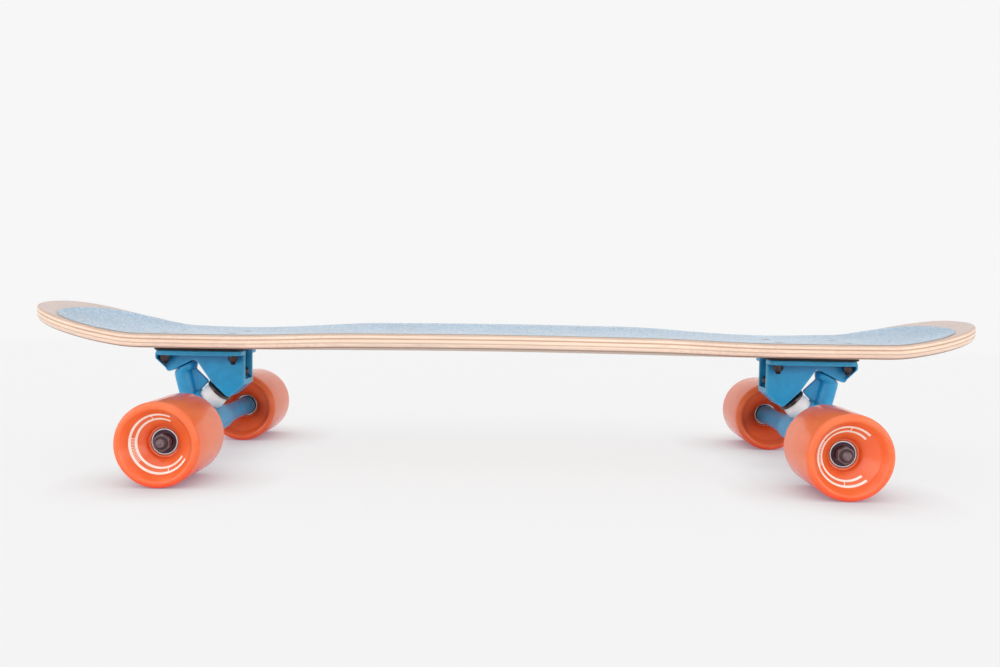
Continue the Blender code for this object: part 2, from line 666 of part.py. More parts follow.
def make_pin_stack(steel, black, white, truck):
    # Cup washer, boardside bushing, roadside bushing, washer and nut, from the baseplate down.
    bore = KINGPIN_DIAMETER / 2 + CLEARANCE
    rim, wall, flat = CUP_WASHER_DIAMETER / 2, CUP_WASHER_WALL, CUP_WASHER_FLAT / 2
    cup = [(bore, CLEARANCE), (flat, CLEARANCE), (rim, CUP_WASHER_SHOULDER),
           (rim, CUP_WASHER_HEIGHT), (rim - wall, CUP_WASHER_HEIGHT),
           (rim - wall, CUP_FLOOR + (rim - wall - flat) * CUP_FALL), (flat, CUP_FLOOR), (bore, CUP_FLOOR)]
    washer = piece(turned("cup_washer", cup, PIN_SEAT, PIN_DIRECTION, 16, closed=True),
                   "front_boardside_washer", black, parent=truck)
    wide, crown = BUSHING_DIAMETER / 2, BUSHING_TOP_DIAMETER / 2
    above = [(bore, BOARDSIDE_START), (flat - CLEARANCE, BOARDSIDE_START),
             (crown, BOARDSIDE_START + (crown - flat + CLEARANCE) * CUP_FALL),
             (crown, CUP_WASHER_HEIGHT + CLEARANCE), (wide, (BOARDSIDE_START + RING_TOP) / 2),
             (wide - CLEARANCE, RING_TOP - CLEARANCE), (bore, RING_TOP - CLEARANCE)]
    upper = piece(turned("boardside", above, PIN_SEAT, PIN_DIRECTION, 16, closed=True),
                  "front_boardside_bushing", white, parent=truck)
    finish_at = ROADSIDE_START + ROADSIDE_LENGTH
    below = [(bore, ROADSIDE_START), (ROADSIDE_DIAMETER / 2, ROADSIDE_START),
             (ROADSIDE_DIAMETER / 2, ROADSIDE_START + RING_RIM),
             (ROADSIDE_END_DIAMETER / 2, finish_at), (bore, finish_at)]
    lower = piece(turned("roadside", below, PIN_SEAT, PIN_DIRECTION, 16, closed=True),
                  "front_roadside_bushing", white, parent=truck)
    low = ROADSIDE_WASHER_START
    disc = [(bore, low), (ROADSIDE_WASHER / 2, low), (ROADSIDE_WASHER / 2, low + ROADSIDE_WASHER_THICKNESS),
            (bore, low + ROADSIDE_WASHER_THICKNESS)]
    plate = piece(turned("roadside_washer", disc, PIN_SEAT, PIN_DIRECTION, 16, closed=True),
                  "front_roadside_washer", black, parent=truck)
    nut = make_hex_nut("kingpin_nut", on_pin(PIN_NUT_START), PIN_DIRECTION, KINGPIN_NUT_WIDTH,
                       KINGPIN_NUT_HEIGHT, 2 * bore)
    return [washer, upper, lower, plate, piece(nut, "front_kingpin_nut", steel, parent=truck)]


def oval(centre, tilt, radius, half_depth, count=14):
    # An oval across a neck: radius in the XZ plane, half_depth along Y.
    across = Vector((-math.sin(math.radians(tilt)), 0, -math.cos(math.radians(tilt))))
    return [centre + across * radius * math.cos(math.tau * at / count)
            + Vector((0, half_depth * math.sin(math.tau * at / count), 0)) for at in range(count)]


def make_hanger(paint, steer):
    half = HANGER_WIDTH / 2
    chamfer = CLEARANCE * 2
    flare = half - BEARING_OUTER / 2
    root = RING_DIAMETER / 2
    right = [(ARM_ROOT_RADIUS, 0.0), (ARM_ROOT_RADIUS - CLEARANCE, root), (ARM_SHOULDER_RADIUS, 2 * root),
             (ARM_RADIUS, half / 2 + CLEARANCE), (ARM_RADIUS, flare),
             (ARM_END_RADIUS, flare + ARM_END_FLARE), (ARM_END_RADIUS, half - chamfer),
             (ARM_END_RADIUS - chamfer, half)]
    profile = [(radius, -along) for radius, along in right[:0:-1]] + right[1:]
    arms = turned("hanger", profile, Vector((0, 0, 0)), (0, 1, 0), 16)

    top, bottom = RING_TOP - RING_RIM, RING_BOTTOM + RING_RIM
    ring = turned("ring", [(root - chamfer, top), (root, top + chamfer), (root, bottom - chamfer),
                           (root - chamfer, bottom)], PIN_SEAT, PIN_DIRECTION, 20)

    # The collar turns under the housing's mouth, and the pivot nose turns in the cup.
    shoulder = PIVOT_LENGTH - PIVOT_RADIUS
    collar = [(COLLAR_WAIST, -COLLAR_GAP - 2 * COLLAR_HEIGHT), (COLLAR_RADIUS, -COLLAR_GAP - COLLAR_HEIGHT),
              (COLLAR_RADIUS, -COLLAR_GAP - chamfer), (COLLAR_RADIUS - chamfer, -COLLAR_GAP),
              (PIVOT_RADIUS, -COLLAR_GAP)]
    collar += [(PIVOT_RADIUS * math.sin(math.radians(angle)),
                shoulder + PIVOT_RADIUS * math.cos(math.radians(angle))) for angle in (90, 62, 36, 12)]
    nose = turned("nose", collar, PIVOT_MOUTH, STEER_UP, 16)

    # The neck leans from the housing's mouth down the outer side of the ring.
    mouth, width = NECK_MOUTH / 2, NECK_WIDTH / 2
    bend = on_steer(-NECK_BEND_DEPTH) - Vector((NECK_LEAN, 0, 0))
    foot = on_pin(RING_BOTTOM + RING_RIM, -root)
    toe = foot - Vector((0, 0, NECK_FOOT_DROP))
    neck_rings = [oval(on_steer(-COLLAR_GAP - chamfer), STEER_ANGLE, mouth, width),
                  oval(bend, NECK_TILT, width, width), oval(foot.lerp(bend, 0.5), NECK_TILT, width, width),
                  oval(foot, NECK_TILT, width - chamfer, width), oval(toe, NECK_TILT, width / 2, width / 2)]
    neck = stacked("neck", neck_rings)

    # A thin web fills the angle between the neck and the ring.
    clear = CUP_WASHER_DIAMETER / 2 + CLEARANCE
    web_points = [on_pin(WEB_DEPTH, -WEB_REACH), on_pin(WEB_DEPTH, -clear - WEB_CORNER),
                  on_pin(CUP_WASHER_HEIGHT + WEB_CORNER, -clear), on_pin(top + RING_RIM, -clear),
                  on_pin(RING_BOTTOM, -root + chamfer), foot]
    web = prism("web", [(point.x, point.z) for point in web_points], WEB_THICKNESS / 2)

    # Ribs carry the arms from the ring's two sides.
    rib_points = [on_pin(top + RIB_EDGE, RIB_EDGE), on_pin(top + chamfer, root - chamfer),
                  Vector((RIB_FRONT, 0, RIB_RISE)), Vector((0, 0, -RIB_RISE)),
                  on_pin(RING_BOTTOM, RIB_EDGE)]
    rib = prism("rib", [(point.x, point.z) for point in rib_points], RIB_HALF_WIDTH, RIB_EDGE)

    body = combine(arms, [rib, ring, neck, nose, web], "UNION")

    seat = BUSHING_DIAMETER / 2 + CLEARANCE
    upper_seat = turned("upper_seat", [(seat, 0.0), (seat, RING_TOP)], on_pin(0), PIN_DIRECTION, 16)
    low_seat = ROADSIDE_DIAMETER / 2 + CLEARANCE
    room = low_seat + STEER_ROOM
    lower_seat = turned("lower_seat", [(low_seat, RING_BOTTOM), (room, ROADSIDE_WASHER_START),
                                       (room, PIN_END + PIN_NUT_START)], on_pin(0), PIN_DIRECTION, 16)
    pin_bore = turned("ring_bore", [(RING_BORE / 2, 0.0), (RING_BORE / 2, PIN_END)], on_pin(0),
                      PIN_DIRECTION, 16)
    bore = AXLE_DIAMETER / 2 + CLEARANCE
    axle_bore = turned("axle_bore", [(bore, -half - bore), (bore, half + bore)], Vector((0, 0, 0)),
                       (0, 1, 0), 12)
    body = combine(body, [upper_seat, lower_seat, pin_bore, axle_bore], "DIFFERENCE")
    return piece(body, "front_hanger", paint, RING_CENTRE, steer)


def make_axle(steel, steer):
    half, radius = AXLE_LENGTH / 2, AXLE_DIAMETER / 2
    chamfer = AXLE_DIAMETER / 16
    profile = [(radius - chamfer, -half), (radius, chamfer - half), (radius, half - chamfer),
               (radius - chamfer, half)]
    return piece(turned("axle", profile, Vector((0, 0, 0)), (0, 1, 0), 12), "front_axle", steel,
                 Vector((0, 0, 0)), steer)


# Wheels. Each is made for the +Y side, about its own middle.

def make_wheel(urethane):
    half, radius = WHEEL_WIDTH / 2, WHEEL_DIAMETER / 2
    seat = BEARING_OUTER / 2 + CLEARANCE
    bearing_edge = SPACER_LENGTH / 2 + BEARING_WIDTH
    shoulder = SPACER_LENGTH / 2 - CLEARANCE
    lip = [(radius, half - WHEEL_LIP), (radius - LIP_ROUND, half - LIP_ROUND),
           (radius - WHEEL_LIP, half), (FACE_RADIUS, half), (RIM_RADIUS, half - RIM_DEPTH),
           (DISH_RADIUS, half - DISH_DEPTH), (RECESS_RADIUS, bearing_edge + CLEARANCE),
           (seat, bearing_edge), (seat, shoulder), (seat - 2 * SPEED_WASHER, shoulder)]
    profile = lip + [(r, -along) for r, along in reversed(lip)]
    wheel = turned("wheel", profile, Vector((0, 0, 0)), (0, 1, 0), 24, closed=True, on_flat=True)
    return piece(wheel, "wheel", urethane)


def make_bearing(steel):
    # Outer race with its shields, about the bearing's own middle.
    half = BEARING_WIDTH / 2
    outer, inner = BEARING_OUTER / 2, INNER_RACE / 2 + CLEARANCE
    profile = [(outer, -half), (outer, half), (inner, half), (inner, -half)]
    return piece(turned("bearing", profile, Vector((0, 0, 0)), (0, 1, 0), 16, closed=True), "bearing", steel)


def make_sleeve(steel):
    # Speed washers, inner races and spacer, clamped between the hanger and the axle nut.
    bore, race = AXLE_DIAMETER / 2 + CLEARANCE, INNER_RACE / 2
    gap, end = SPACER_LENGTH / 2, HUB_LENGTH / 2
    profile = [(bore, -end), (race, -end), (race, -gap), (SPACER_DIAMETER / 2, -gap),
               (SPACER_DIAMETER / 2, gap), (race, gap), (race, end), (bore, end)]
    return piece(turned("sleeve", profile, Vector((0, 0, 0)), (0, 1, 0), 12, closed=True), "sleeve", steel)


def place_wheels(parts, truck_name, steer, axle_point, world_sign):
    wheel, bearing, sleeve, nut = parts
    for side, world_side in (("left", -1), ("right", 1)):
        local = world_side * world_sign
        turn = local < 0
        label = f"{truck_name}_{side}"

        def at(distance):
            return axle_point + Vector((0, local * distance, 0))

        hub = copy_of(wheel, f"{label}_wheel", steer, at(WHEEL_CENTRE), turn)
        offset = (SPACER_LENGTH + BEARING_WIDTH) / 2
        for where, along in (("inner", -offset), ("outer", offset)):
            race = copy_of(bearing, f"{label}_{where}_bearing", hub, Vector((0, along, 0)))
            race.rotation_euler = (0, 0, 0)
        copy_of(sleeve, f"{label}_bearing_sleeve", steer, at(WHEEL_CENTRE), turn)
        copy_of(nut, f"{label}_axle_nut", steer, at(NUT_START), turn)


def build():
    clear_scene()
    wood = finish("maple_ply", (0.62, 0.40, 0.22), 0.45)
    tape = finish("grip_sheet", (0.27, 0.48, 0.62), 0.95)
    rubber = finish("black_riser", (0.02, 0.02, 0.02), 0.7)
    paint = finish("blue_paint", (0.035, 0.22, 0.44), 0.4)
    cup_plastic = finish("black_cup", (0.02, 0.02, 0.022), 0.5)
    zinc = finish("dark_steel", (0.16, 0.15, 0.15), 0.35, 1.0)
    black = finish("black_washer", (0.025, 0.02, 0.02), 0.35, 0.6)
    white = finish("white_bushing", (0.8, 0.8, 0.8), 0.45)
    chrome = finish("bearing_steel", (0.6, 0.6, 0.62), 0.2, 1.0)
    urethane = finish("orange_urethane", (0.95, 0.16, 0.035), 0.4)

    make_deck(wood)
    make_grip(tape)

    front = marker("front_truck", (TRUCK_SHIFT - WHEELBASE / 2, 0, AXLE_HEIGHT))
    rear = marker("rear_truck", (TRUCK_SHIFT + WHEELBASE / 2, 0, AXLE_HEIGHT), turned_round=True)
    front_steer = marker("front_steer", RING_CENTRE, front)
    rear_steer = marker("rear_steer", RING_CENTRE, rear)

    fixed = [make_riser(rubber, front), make_baseplate(paint, front), make_pivot_cup(cup_plastic, front),
             make_kingpin(zinc, front)]
    fixed += make_pin_stack(zinc, black, white, front)
    for item in fixed:
        copy_of(item, item.name.replace("front", "rear"), rear)

    hanger = make_hanger(paint, front_steer)
    hanger.location = (0, 0, 0)
    copy_of(hanger, "rear_hanger", rear_steer)
    axle = make_axle(zinc, front_steer)
    axle.location = -RING_CENTRE
    copy_of(axle, "rear_axle", rear_steer)

    wheel, bearing, sleeve = make_wheel(urethane), make_bearing(chrome), make_sleeve(chrome)
    nut_hole = AXLE_DIAMETER + 2 * CLEARANCE
    axle_nut = piece(make_hex_nut("axle_nut", Vector((0, 0, 0)), Vector((0, 1, 0)), AXLE_NUT_WIDTH,
                                  AXLE_NUT_HEIGHT, nut_hole), "axle_nut", zinc)
    patterns = (wheel, bearing, sleeve, axle_nut)
    place_wheels(patterns, "front", front_steer, -RING_CENTRE, 1)
    place_wheels(patterns, "rear", rear_steer, -RING_CENTRE, -1)

    bolt, lock_nut = make_bolt(zinc), make_lock_nut(zinc)
    for name, x, y in bolt_places():
        copy_of(bolt, f"{name}_bolt", None, (x, y, AXLE_HEIGHT + DECK_TOP))
        copy_of(lock_nut, f"{name}_lock_nut", None, (x, y, AXLE_HEIGHT + PLATE_BOTTOM - CLEARANCE))
    for pattern in patterns + (bolt, lock_nut):
        bpy.data.objects.remove(pattern)


build()
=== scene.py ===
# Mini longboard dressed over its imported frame: a kicked ply deck, two reverse-kingpin trucks, four wheels.
# Metres, +Z up. The nose points along -X, the wheels stand on Z = 0, and the camera looks along +Y.
import math

import bmesh
import bpy
from mathutils import Matrix, Vector


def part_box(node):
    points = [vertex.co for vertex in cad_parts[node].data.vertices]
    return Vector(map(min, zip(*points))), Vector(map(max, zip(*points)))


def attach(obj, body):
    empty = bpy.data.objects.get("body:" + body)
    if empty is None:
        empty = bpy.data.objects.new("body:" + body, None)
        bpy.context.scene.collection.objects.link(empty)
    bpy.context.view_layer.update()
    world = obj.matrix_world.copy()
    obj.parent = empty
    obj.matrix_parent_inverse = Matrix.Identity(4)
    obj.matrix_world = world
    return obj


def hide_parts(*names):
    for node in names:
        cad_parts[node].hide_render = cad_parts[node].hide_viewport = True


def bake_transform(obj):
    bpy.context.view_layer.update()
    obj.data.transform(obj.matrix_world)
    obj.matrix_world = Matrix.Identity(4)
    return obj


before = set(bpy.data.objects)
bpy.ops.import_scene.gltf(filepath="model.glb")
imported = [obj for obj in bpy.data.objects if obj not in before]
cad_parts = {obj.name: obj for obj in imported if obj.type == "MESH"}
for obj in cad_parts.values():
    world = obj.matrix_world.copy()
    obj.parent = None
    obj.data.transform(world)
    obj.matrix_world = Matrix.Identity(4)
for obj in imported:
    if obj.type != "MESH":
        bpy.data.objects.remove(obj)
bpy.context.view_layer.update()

scene = bpy.context.scene
fit = 0.0003  # the gap that the solids keep between pieces that touch
weld = 0.000002  # points nearer than this are one point
noiseCore = (0.35, 0.65)  # the range that holds most of a noise's values
overrun = 0.01  # how far a drill runs on beyond what it cuts
sheetCrease, castCrease, nutCrease, threadCrease = 40, 38, 30, 50  # degrees that still shade smooth


# Nodes and materials.

def linear(hexColour):
    # A shader wants linear values, and the colours here are read off as sRGB.
    channels = [int(hexColour[at:at + 2], 16) / 255 for at in (1, 3, 5)]
    return (*[c / 12.92 if c <= 0.04045 else ((c + 0.055) / 1.055) ** 2.4 for c in channels], 1.0)


def addNode(tree, kind, inputs=None, **settings):
    # Adds a node. An input may be a value, a socket or another node, whose first output is then linked.
    node = tree.nodes.new(kind)
    for key, value in settings.items():
        setattr(node, key, value)
    for key, value in (inputs or {}).items():
        if isinstance(value, bpy.types.Node):
            value = value.outputs[0]
        if isinstance(value, bpy.types.NodeSocket):
            tree.links.new(value, node.inputs[key])
        else:
            node.inputs[key].default_value = value
    return node


def maths(tree, operation, first, second):
    return addNode(tree, "ShaderNodeMath", {0: first, 1: second}, operation=operation).outputs[0]


def objectPlace(tree):
    return addNode(tree, "ShaderNodeTexCoord").outputs["Object"]


def perMetre(millimetres):
    # A texture's scale for a feature of that size.
    return 1000.0 / millimetres


def noise(tree, place, size, detail=2.0, **more):
    # Noise with features of that many millimetres.
    inputs = {"Vector": place, "Scale": perMetre(size), "Detail": detail, **more}
    return addNode(tree, "ShaderNodeTexNoise", inputs).outputs[0]


def spread(tree, source, low=0.0, high=1.0, first=0.0, last=1.0):
    # Maps the range from low to high onto the range from first to last, and holds it at the ends.
    return addNode(tree, "ShaderNodeMapRange", {0: source, 1: low, 2: high, 3: first, 4: last}).outputs[0]


def mixed(tree, share, first, second, **settings):
    # Mixes two colours, each a hex value or a socket.
    first, second = [linear(end) if isinstance(end, str) else end for end in (first, second)]
    mix = addNode(tree, "ShaderNodeMix", {0: share, 6: first, 7: second}, data_type="RGBA", **settings)
    return mix.outputs[2]


def openness(tree, reach, low, high, **settings):
    # 0 deep in a hollow or close to another piece, and 1 out in the open.
    sky = addNode(tree, "ShaderNodeAmbientOcclusion", {"Distance": reach}, samples=6, **settings)
    return spread(tree, sky.outputs["AO"], low, high)


def newFinish(name, values):
    # A material on the Principled shader, with what stays the same all over set on its sockets.
    material = bpy.data.materials.new(name)
    material.use_nodes = True
    for socket, value in values.items():
        material.node_tree.nodes["Principled BSDF"].inputs[socket].default_value = value
    return material, material.node_tree


def wired(material, colour, rough, height, distance, strength):
    # Links a colour, a roughness and a bump to the material's shader.
    tree = material.node_tree
    bump = addNode(tree, "ShaderNodeBump", {"Height": height, "Distance": distance, "Strength": strength})
    for socket, source in (("Base Color", colour), ("Roughness", rough), ("Normal", bump.outputs[0])):
        tree.links.new(source, tree.nodes["Principled BSDF"].inputs[socket])
    return material


def makeMaplePly(spec):
    # Lacquered maple ply, rotary-cut plies pressed with resin: a pinkish veneer with fine long grain on
    # the faces, and on the cut edge pale and tan bands with thin glue lines and end-grain streaks, and a
    # dark band low on the edge that is partly the lower veneer and partly painted shade on the rounded edge.
    material, tree = newFinish("lacqueredMaplePly", {"Coat Weight": 0.25, "Coat Roughness": 0.22})
    height = addNode(tree, "ShaderNodeAttribute", attribute_name="plyHeight").outputs["Fac"]
    bands = addNode(tree, "ShaderNodeValToRGB", {0: height})
    ramp = bands.color_ramp
    ramp.interpolation = "CONSTANT"
    for at, (start, colour) in enumerate(spec["bands"]):
        stop = ramp.elements[0] if at == 0 else ramp.elements.new(start)
        stop.position = start
        stop.color = linear(colour)
    ramp.elements.remove(ramp.elements[-1])
    along = addNode(tree, "ShaderNodeMapping", {"Vector": objectPlace(tree), "Scale": spec["grainStretch"]})
    grain = noise(tree, along, spec["grainWidth"], 5.0, Roughness=0.6, Distortion=0.3)
    shade = maths(tree, "MULTIPLY", spread(tree, grain, 0.3, 0.72, 0.84, 1.07),
                  spread(tree, noise(tree, along, spec["figureWidth"]), 0.3, 0.7, 0.93, 1.05))
    wood = mixed(tree, 1.0, bands, shade, blend_type="MULTIPLY")
    return wired(material, wood, spread(tree, grain, first=0.5, last=0.36), grain, 0.00006, 0.6)


def makeGripSheet(spec):
    # Silicon-carbide grip sheet, grains glued to a dyed backing: matt, speckled, and hazy at a low angle,
    # where the grains catch the light. Real grains are 0.2 mm, and are drawn as coarse as they show. The
    # cut edge shows the pale film.
    material, tree = newFinish("silicaGripSheet", {
        "Sheen Weight": 0.75, "Sheen Roughness": 0.35, "Sheen Tint": linear("#F6F2F0")})
    place = objectPlace(tree)
    grit = addNode(tree, "ShaderNodeTexVoronoi", {"Vector": place, "Scale": perMetre(spec["grit"])}).outputs
    grains = addNode(tree, "ShaderNodeSeparateColor", {0: grit["Color"]}).outputs
    speck = spread(tree, noise(tree, place, spec["speck"], 3.0, Roughness=0.7), 0.42, 0.62)
    base = mixed(tree, speck, spec["deep"], spec["dye"])
    lit = mixed(tree, spread(tree, grains[0], 0.35, 0.95), base, spec["grain"])
    patch = spread(tree, noise(tree, place, spec["haze"]), *noiseCore, 0.93, 1.06)
    face = mixed(tree, 1.0, lit, patch, blend_type="MULTIPLY")
    normal = addNode(tree, "ShaderNodeNewGeometry").outputs["True Normal"]
    facing = addNode(tree, "ShaderNodeSeparateXYZ", {0: normal}).outputs["Z"]
    colour = mixed(tree, spread(tree, facing, 0.6, 0.85), spec["film"], face)
    return wired(material, colour, spread(tree, grains[1], first=0.75, last=0.95), grit["Distance"], 0.0003,
                 0.8)


def makeCastUrethane(spec):
    # Cast urethane, poured in an open mould and turned: waxy, slightly see-through colour with a low gloss,
    # faint clouds from the pour, fine rings left by the lathe, and painted shade: a deeper colour laid on
    # in the hollows and close to other pieces, measured by ambient occlusion.
    material, tree = newFinish(spec["name"], {
        "Subsurface Weight": spec["depth"], "Subsurface Radius": (0.009, 0.002, 0.0008),
        "Subsurface Scale": 1.0, "Specular IOR Level": spec["gloss"], "Coat Weight": spec["coat"],
        "Coat Roughness": 0.08})
    about = addNode(tree, "ShaderNodeAttribute", attribute_name="aboutAxis").outputs["Vector"]
    split = addNode(tree, "ShaderNodeSeparateXYZ", {0: about}).outputs
    flat = addNode(tree, "ShaderNodeCombineXYZ", {"X": split["X"], "Y": split["Y"]})
    radius = addNode(tree, "ShaderNodeVectorMath", {0: flat}, operation="LENGTH").outputs["Value"]
    rings = noise(tree, addNode(tree, "ShaderNodeCombineXYZ", {"X": radius, "Y": split["Z"]}), spec["ring"])
    clouds = spread(tree, noise(tree, about, spec["cloud"], 3.0), *noiseCore)
    surface = mixed(tree, clouds, spec["colour"], spec["pale"])
    # Painted shade: the deep colour in the hollows and close to other pieces.
    colour = mixed(tree, openness(tree, spec["near"], 0.25, 0.9), spec["deep"], surface)
    rough = spread(tree, rings, first=spec["rough"] - 0.06, last=spec["rough"] + 0.06)
    return wired(material, colour, rough, rings, 0.00002, 0.7)


def makePaintedCasting(spec):
    # Sand-cast aluminium under satin enamel: a soft orange-peel skin over a lightly rippled casting, with
    # a painted highlight that makes its edges paler, and painted shade that makes its hollows darker.
    material, tree = newFinish("enamelledCastAluminium", {"Coat Weight": 0.12, "Coat Roughness": 0.2})
    place = objectPlace(tree)
    peel, ripple = noise(tree, place, spec["peel"]), noise(tree, place, spec["ripple"], 3.0)
    # Painted highlight: a mask of the sharp outer edges, which are made paler.
    edges = spread(tree, addNode(tree, "ShaderNodeNewGeometry").outputs["Pointiness"], 0.505, 0.56)
    body = mixed(tree, spread(tree, ripple, *noiseCore), spec["colour"], spec["deep"])
    # Painted shade: the hollows take a dark colour from occlusion.
    bodyWithPaintedShade = mixed(tree, openness(tree, spec["hollow"], 0.35, 0.95, only_local=True), spec["pool"], body)
    colour = mixed(tree, maths(tree, "MULTIPLY", edges, 0.55), bodyWithPaintedShade, spec["edge"])
    skin = maths(tree, "ADD", peel, ripple)
    return wired(material, colour, spread(tree, peel, first=0.3, last=0.44), skin, 0.00008, 0.45)


def makeSteel(name, metallic, steel, tarnish, rough, stainSize, scratchSize):
    # Machined steel parts with a thin finish over them: fine scratches, cloudy tarnish and dull patches
    # where the finish is thicker.
    material, tree = newFinish(name, {"Metallic": metallic})
    place = objectPlace(tree)
    stain = noise(tree, place, stainSize, 4.0, Roughness=0.65)
    brushed = addNode(tree, "ShaderNodeMapping", {"Vector": place, "Rotation": (0.5, 0.7, 0.3),
                                                  "Scale": (1.0, 9.0, 9.0)})
    colour = mixed(tree, spread(tree, stain, *noiseCore), steel, tarnish)
    dull = spread(tree, stain, 0.3, 0.7, rough - 0.08, rough + 0.12)
    return wired(material, colour, dull, noise(tree, brushed, scratchSize), 0.00002, 0.5)


def makeMoulded(name, plastic, dusty, rough, grainSize):
    # Small moulded parts, plastic or rubber: an even colour with a fine spark-eroded grain from the mould
    # and slightly shinier high spots.
    material, tree = newFinish(name, {"Specular IOR Level": 0.4})
    place = objectPlace(tree)
    grain, dust = noise(tree, place, grainSize, 3.0), noise(tree, place, grainSize * 12)
    colour = mixed(tree, spread(tree, dust, 0.4, 0.7), plastic, dusty)
    shiny = spread(tree, grain, first=rough + 0.08, last=rough - 0.08)
    return wired(material, colour, shiny, grain, 0.00004, 0.5)


# Sizes in these finishes are millimetres. Band starts run from the deck's underside, 0, to its top, 1.
# The dark band from 0.010 to 0.085 is partly the lower veneer and partly painted shade.
maplePly = makeMaplePly({
    "bands": ((0.0, "#CFAE94"), (0.010, "#A98C79"), (0.085, "#F6DAC6"), (0.30, "#DCBBA1"), (0.39, "#FDE1CA"),
              (0.575, "#D0A88A"), (0.68, "#FBE0CA"), (0.84, "#E0BFA8"), (0.988, "#E4CDC3")),
    "grainStretch": (0.035, 1.0, 1.0), "grainWidth": 0.9, "figureWidth": 9.0})
gripFinish = makeGripSheet({"grit": 1.1, "speck": 1.6, "haze": 60.0, "dye": "#82BAD8", "deep": "#5C9DC7",
                            "grain": "#D6DFE4", "film": "#C9CFD2"})
# In both urethanes the deep colour is painted shade, laid in the hollows and close to other pieces within the
# given reach.
wheelFinish = makeCastUrethane({"name": "castOrangeUrethane", "colour": "#F5743D", "pale": "#F87E47",
                                "deep": "#F85022", "near": 0.035, "cloud": 26.0, "ring": 0.6, "rough": 0.15,
                                "depth": 0.5, "coat": 0.0, "gloss": 0.5})
bushingFinish = makeCastUrethane({"name": "castWhiteUrethane", "colour": "#F9F9F9", "pale": "#FCFCFA",
                                  "deep": "#EFF0F2", "near": 0.01, "cloud": 9.0, "ring": 0.7,
                                  "rough": 0.36, "depth": 0.1, "coat": 0.1, "gloss": 0.5})
# The colour for the hollows is painted shade, and the edge colour is a painted highlight.
truckPaint = makePaintedCasting({"peel": 1.3, "ripple": 7.0, "colour": "#19A5DB", "deep": "#1499CF",
                                 "edge": "#6CC4EA", "pool": "#0A4F85", "hollow": 0.011})
# Name, metallic, colour, tarnish, roughness, size of a stain, size of a scratch.
darkSteel = makeSteel("blackenedSteel", 1.0, "#5A4B4C", "#3F3537", 0.38, 3.0, 1.2)
axleSteel = makeSteel("phosphatedAxleSteel", 0.4, "#7F6D74", "#65565C", 0.45, 2.0, 1.0)
washerSteel = makeSteel("blackWasherSteel", 0.85, "#6A5F5D", "#453C3B", 0.3, 4.0, 1.5)
raceSteel = makeSteel("polishedBearingSteel", 1.0, "#D5D3D6", "#C2C0C6", 0.2, 5.0, 0.9)
# Name, colour, the same under dust, roughness, size of the grain.
shieldFinish = makeMoulded("nitrileShield", "#422A37", "#503846", 0.45, 0.35)
riserFinish = makeMoulded("mouldedRiserRubber", "#1B191A", "#282526", 0.6, 0.6)
cupFinish = makeMoulded("mouldedAcetal", "#1A1B1D", "#222325", 0.42, 0.5)
nylonFinish = makeMoulded("dyedNylonCollar", "#3B3230", "#4A403D", 0.5, 0.4)
inkFinish = makeMoulded("whitePadInk", "#FFF1E6", "#FBE3D3", 0.5, 0.8)
print("materials made:", len(bpy.data.materials))


# Mesh helpers.

def linked(name, data):
    item = bpy.data.objects.new(name, data)
    scene.collection.objects.link(item)
    return item


def newObject(name, points, faces, material):
    mesh = bpy.data.meshes.new(name)
    mesh.from_pydata([tuple(point) for point in points], [], faces)
    mesh.materials.append(material)
    return linked(name, mesh)


def sectionCurve(name, section):
    # A line of (radius, distance along the axis), joined to its start unless it starts on the axis.
    curve = bpy.data.curves.new(name, "CURVE")
    curve.dimensions = "3D"
    line = curve.splines.new("POLY")
    line.points.add(len(section) - 1)
    for point, (radius, along) in zip(line.points, section):
        point.co = (radius, -along, 0, 1)
    line.use_cyclic_u = section[0][0] > 0
    return linked(name, curve)


def plainMesh(item):
    # Leaves what the modifiers show as the plain mesh of a new object with the same name.
    name = item.name
    graph = bpy.context.evaluated_depsgraph_get()
    mesh = bpy.data.meshes.new_from_object(item.evaluated_get(graph))
    bpy.data.objects.remove(item)
    return linked(name, mesh)


def faceOut(item, crease=35):
    # Closes seams and poles, turns the faces outwards and shades the mesh smooth up to the crease angle.
    work = bmesh.new()
    work.from_mesh(item.data)
    bmesh.ops.remove_doubles(work, verts=work.verts, dist=weld)
    bmesh.ops.recalc_face_normals(work, faces=work.faces)
    work.to_mesh(item.data)
    work.free()
    item.data.shade_smooth()
    item.data.set_sharp_from_angle(angle=math.radians(crease))
    return item


def joined(name, items):
    # One mesh of several, each with its own material.
    work, materials = bmesh.new(), []
    for item in items:
        first = len(work.faces)
        work.from_mesh(item.data)
        work.faces.ensure_lookup_table()
        for face in work.faces[first:]:
            face.material_index += len(materials)
        materials += list(item.data.materials)
        bpy.data.objects.remove(item)
    mesh = bpy.data.meshes.new(name)
    work.to_mesh(mesh)
    work.free()
    for material in materials:
        mesh.materials.append(material)
    return linked(name, mesh)


def carved(item, cutters):
    # Cuts a piece with the cutters, which are removed.
    for cutter in cutters:
        modifier = item.modifiers.new("carve", "BOOLEAN")
        modifier.operation = "DIFFERENCE"
        modifier.solver = "EXACT"
        modifier.object = cutter
    made = plainMesh(item)
    for cutter in cutters:
        bpy.data.objects.remove(cutter)
    return made


def alongLine(origin, direction):
    # The matrix that puts a turned piece's axis, its own Z, on a line.
    turn = Vector(direction).to_track_quat("Z", "Y").to_matrix().to_4x4()
    return Matrix.Translation(origin) @ turn


def placed(item, matrix):
    item.data.transform(matrix)
    return item


def twin(item, name, matrix):
    # A copy with its own mesh, moved by a matrix.
    return placed(linked(name, item.data.copy()), matrix)


def dress(item, name, body, slot, *nodes):
    # Hangs a finished piece on its body in place of the solids that it stands for.
    item.name = item.data.name = name
    if body:
        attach(item, body)
    if nodes:
        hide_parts(*nodes)
    return item


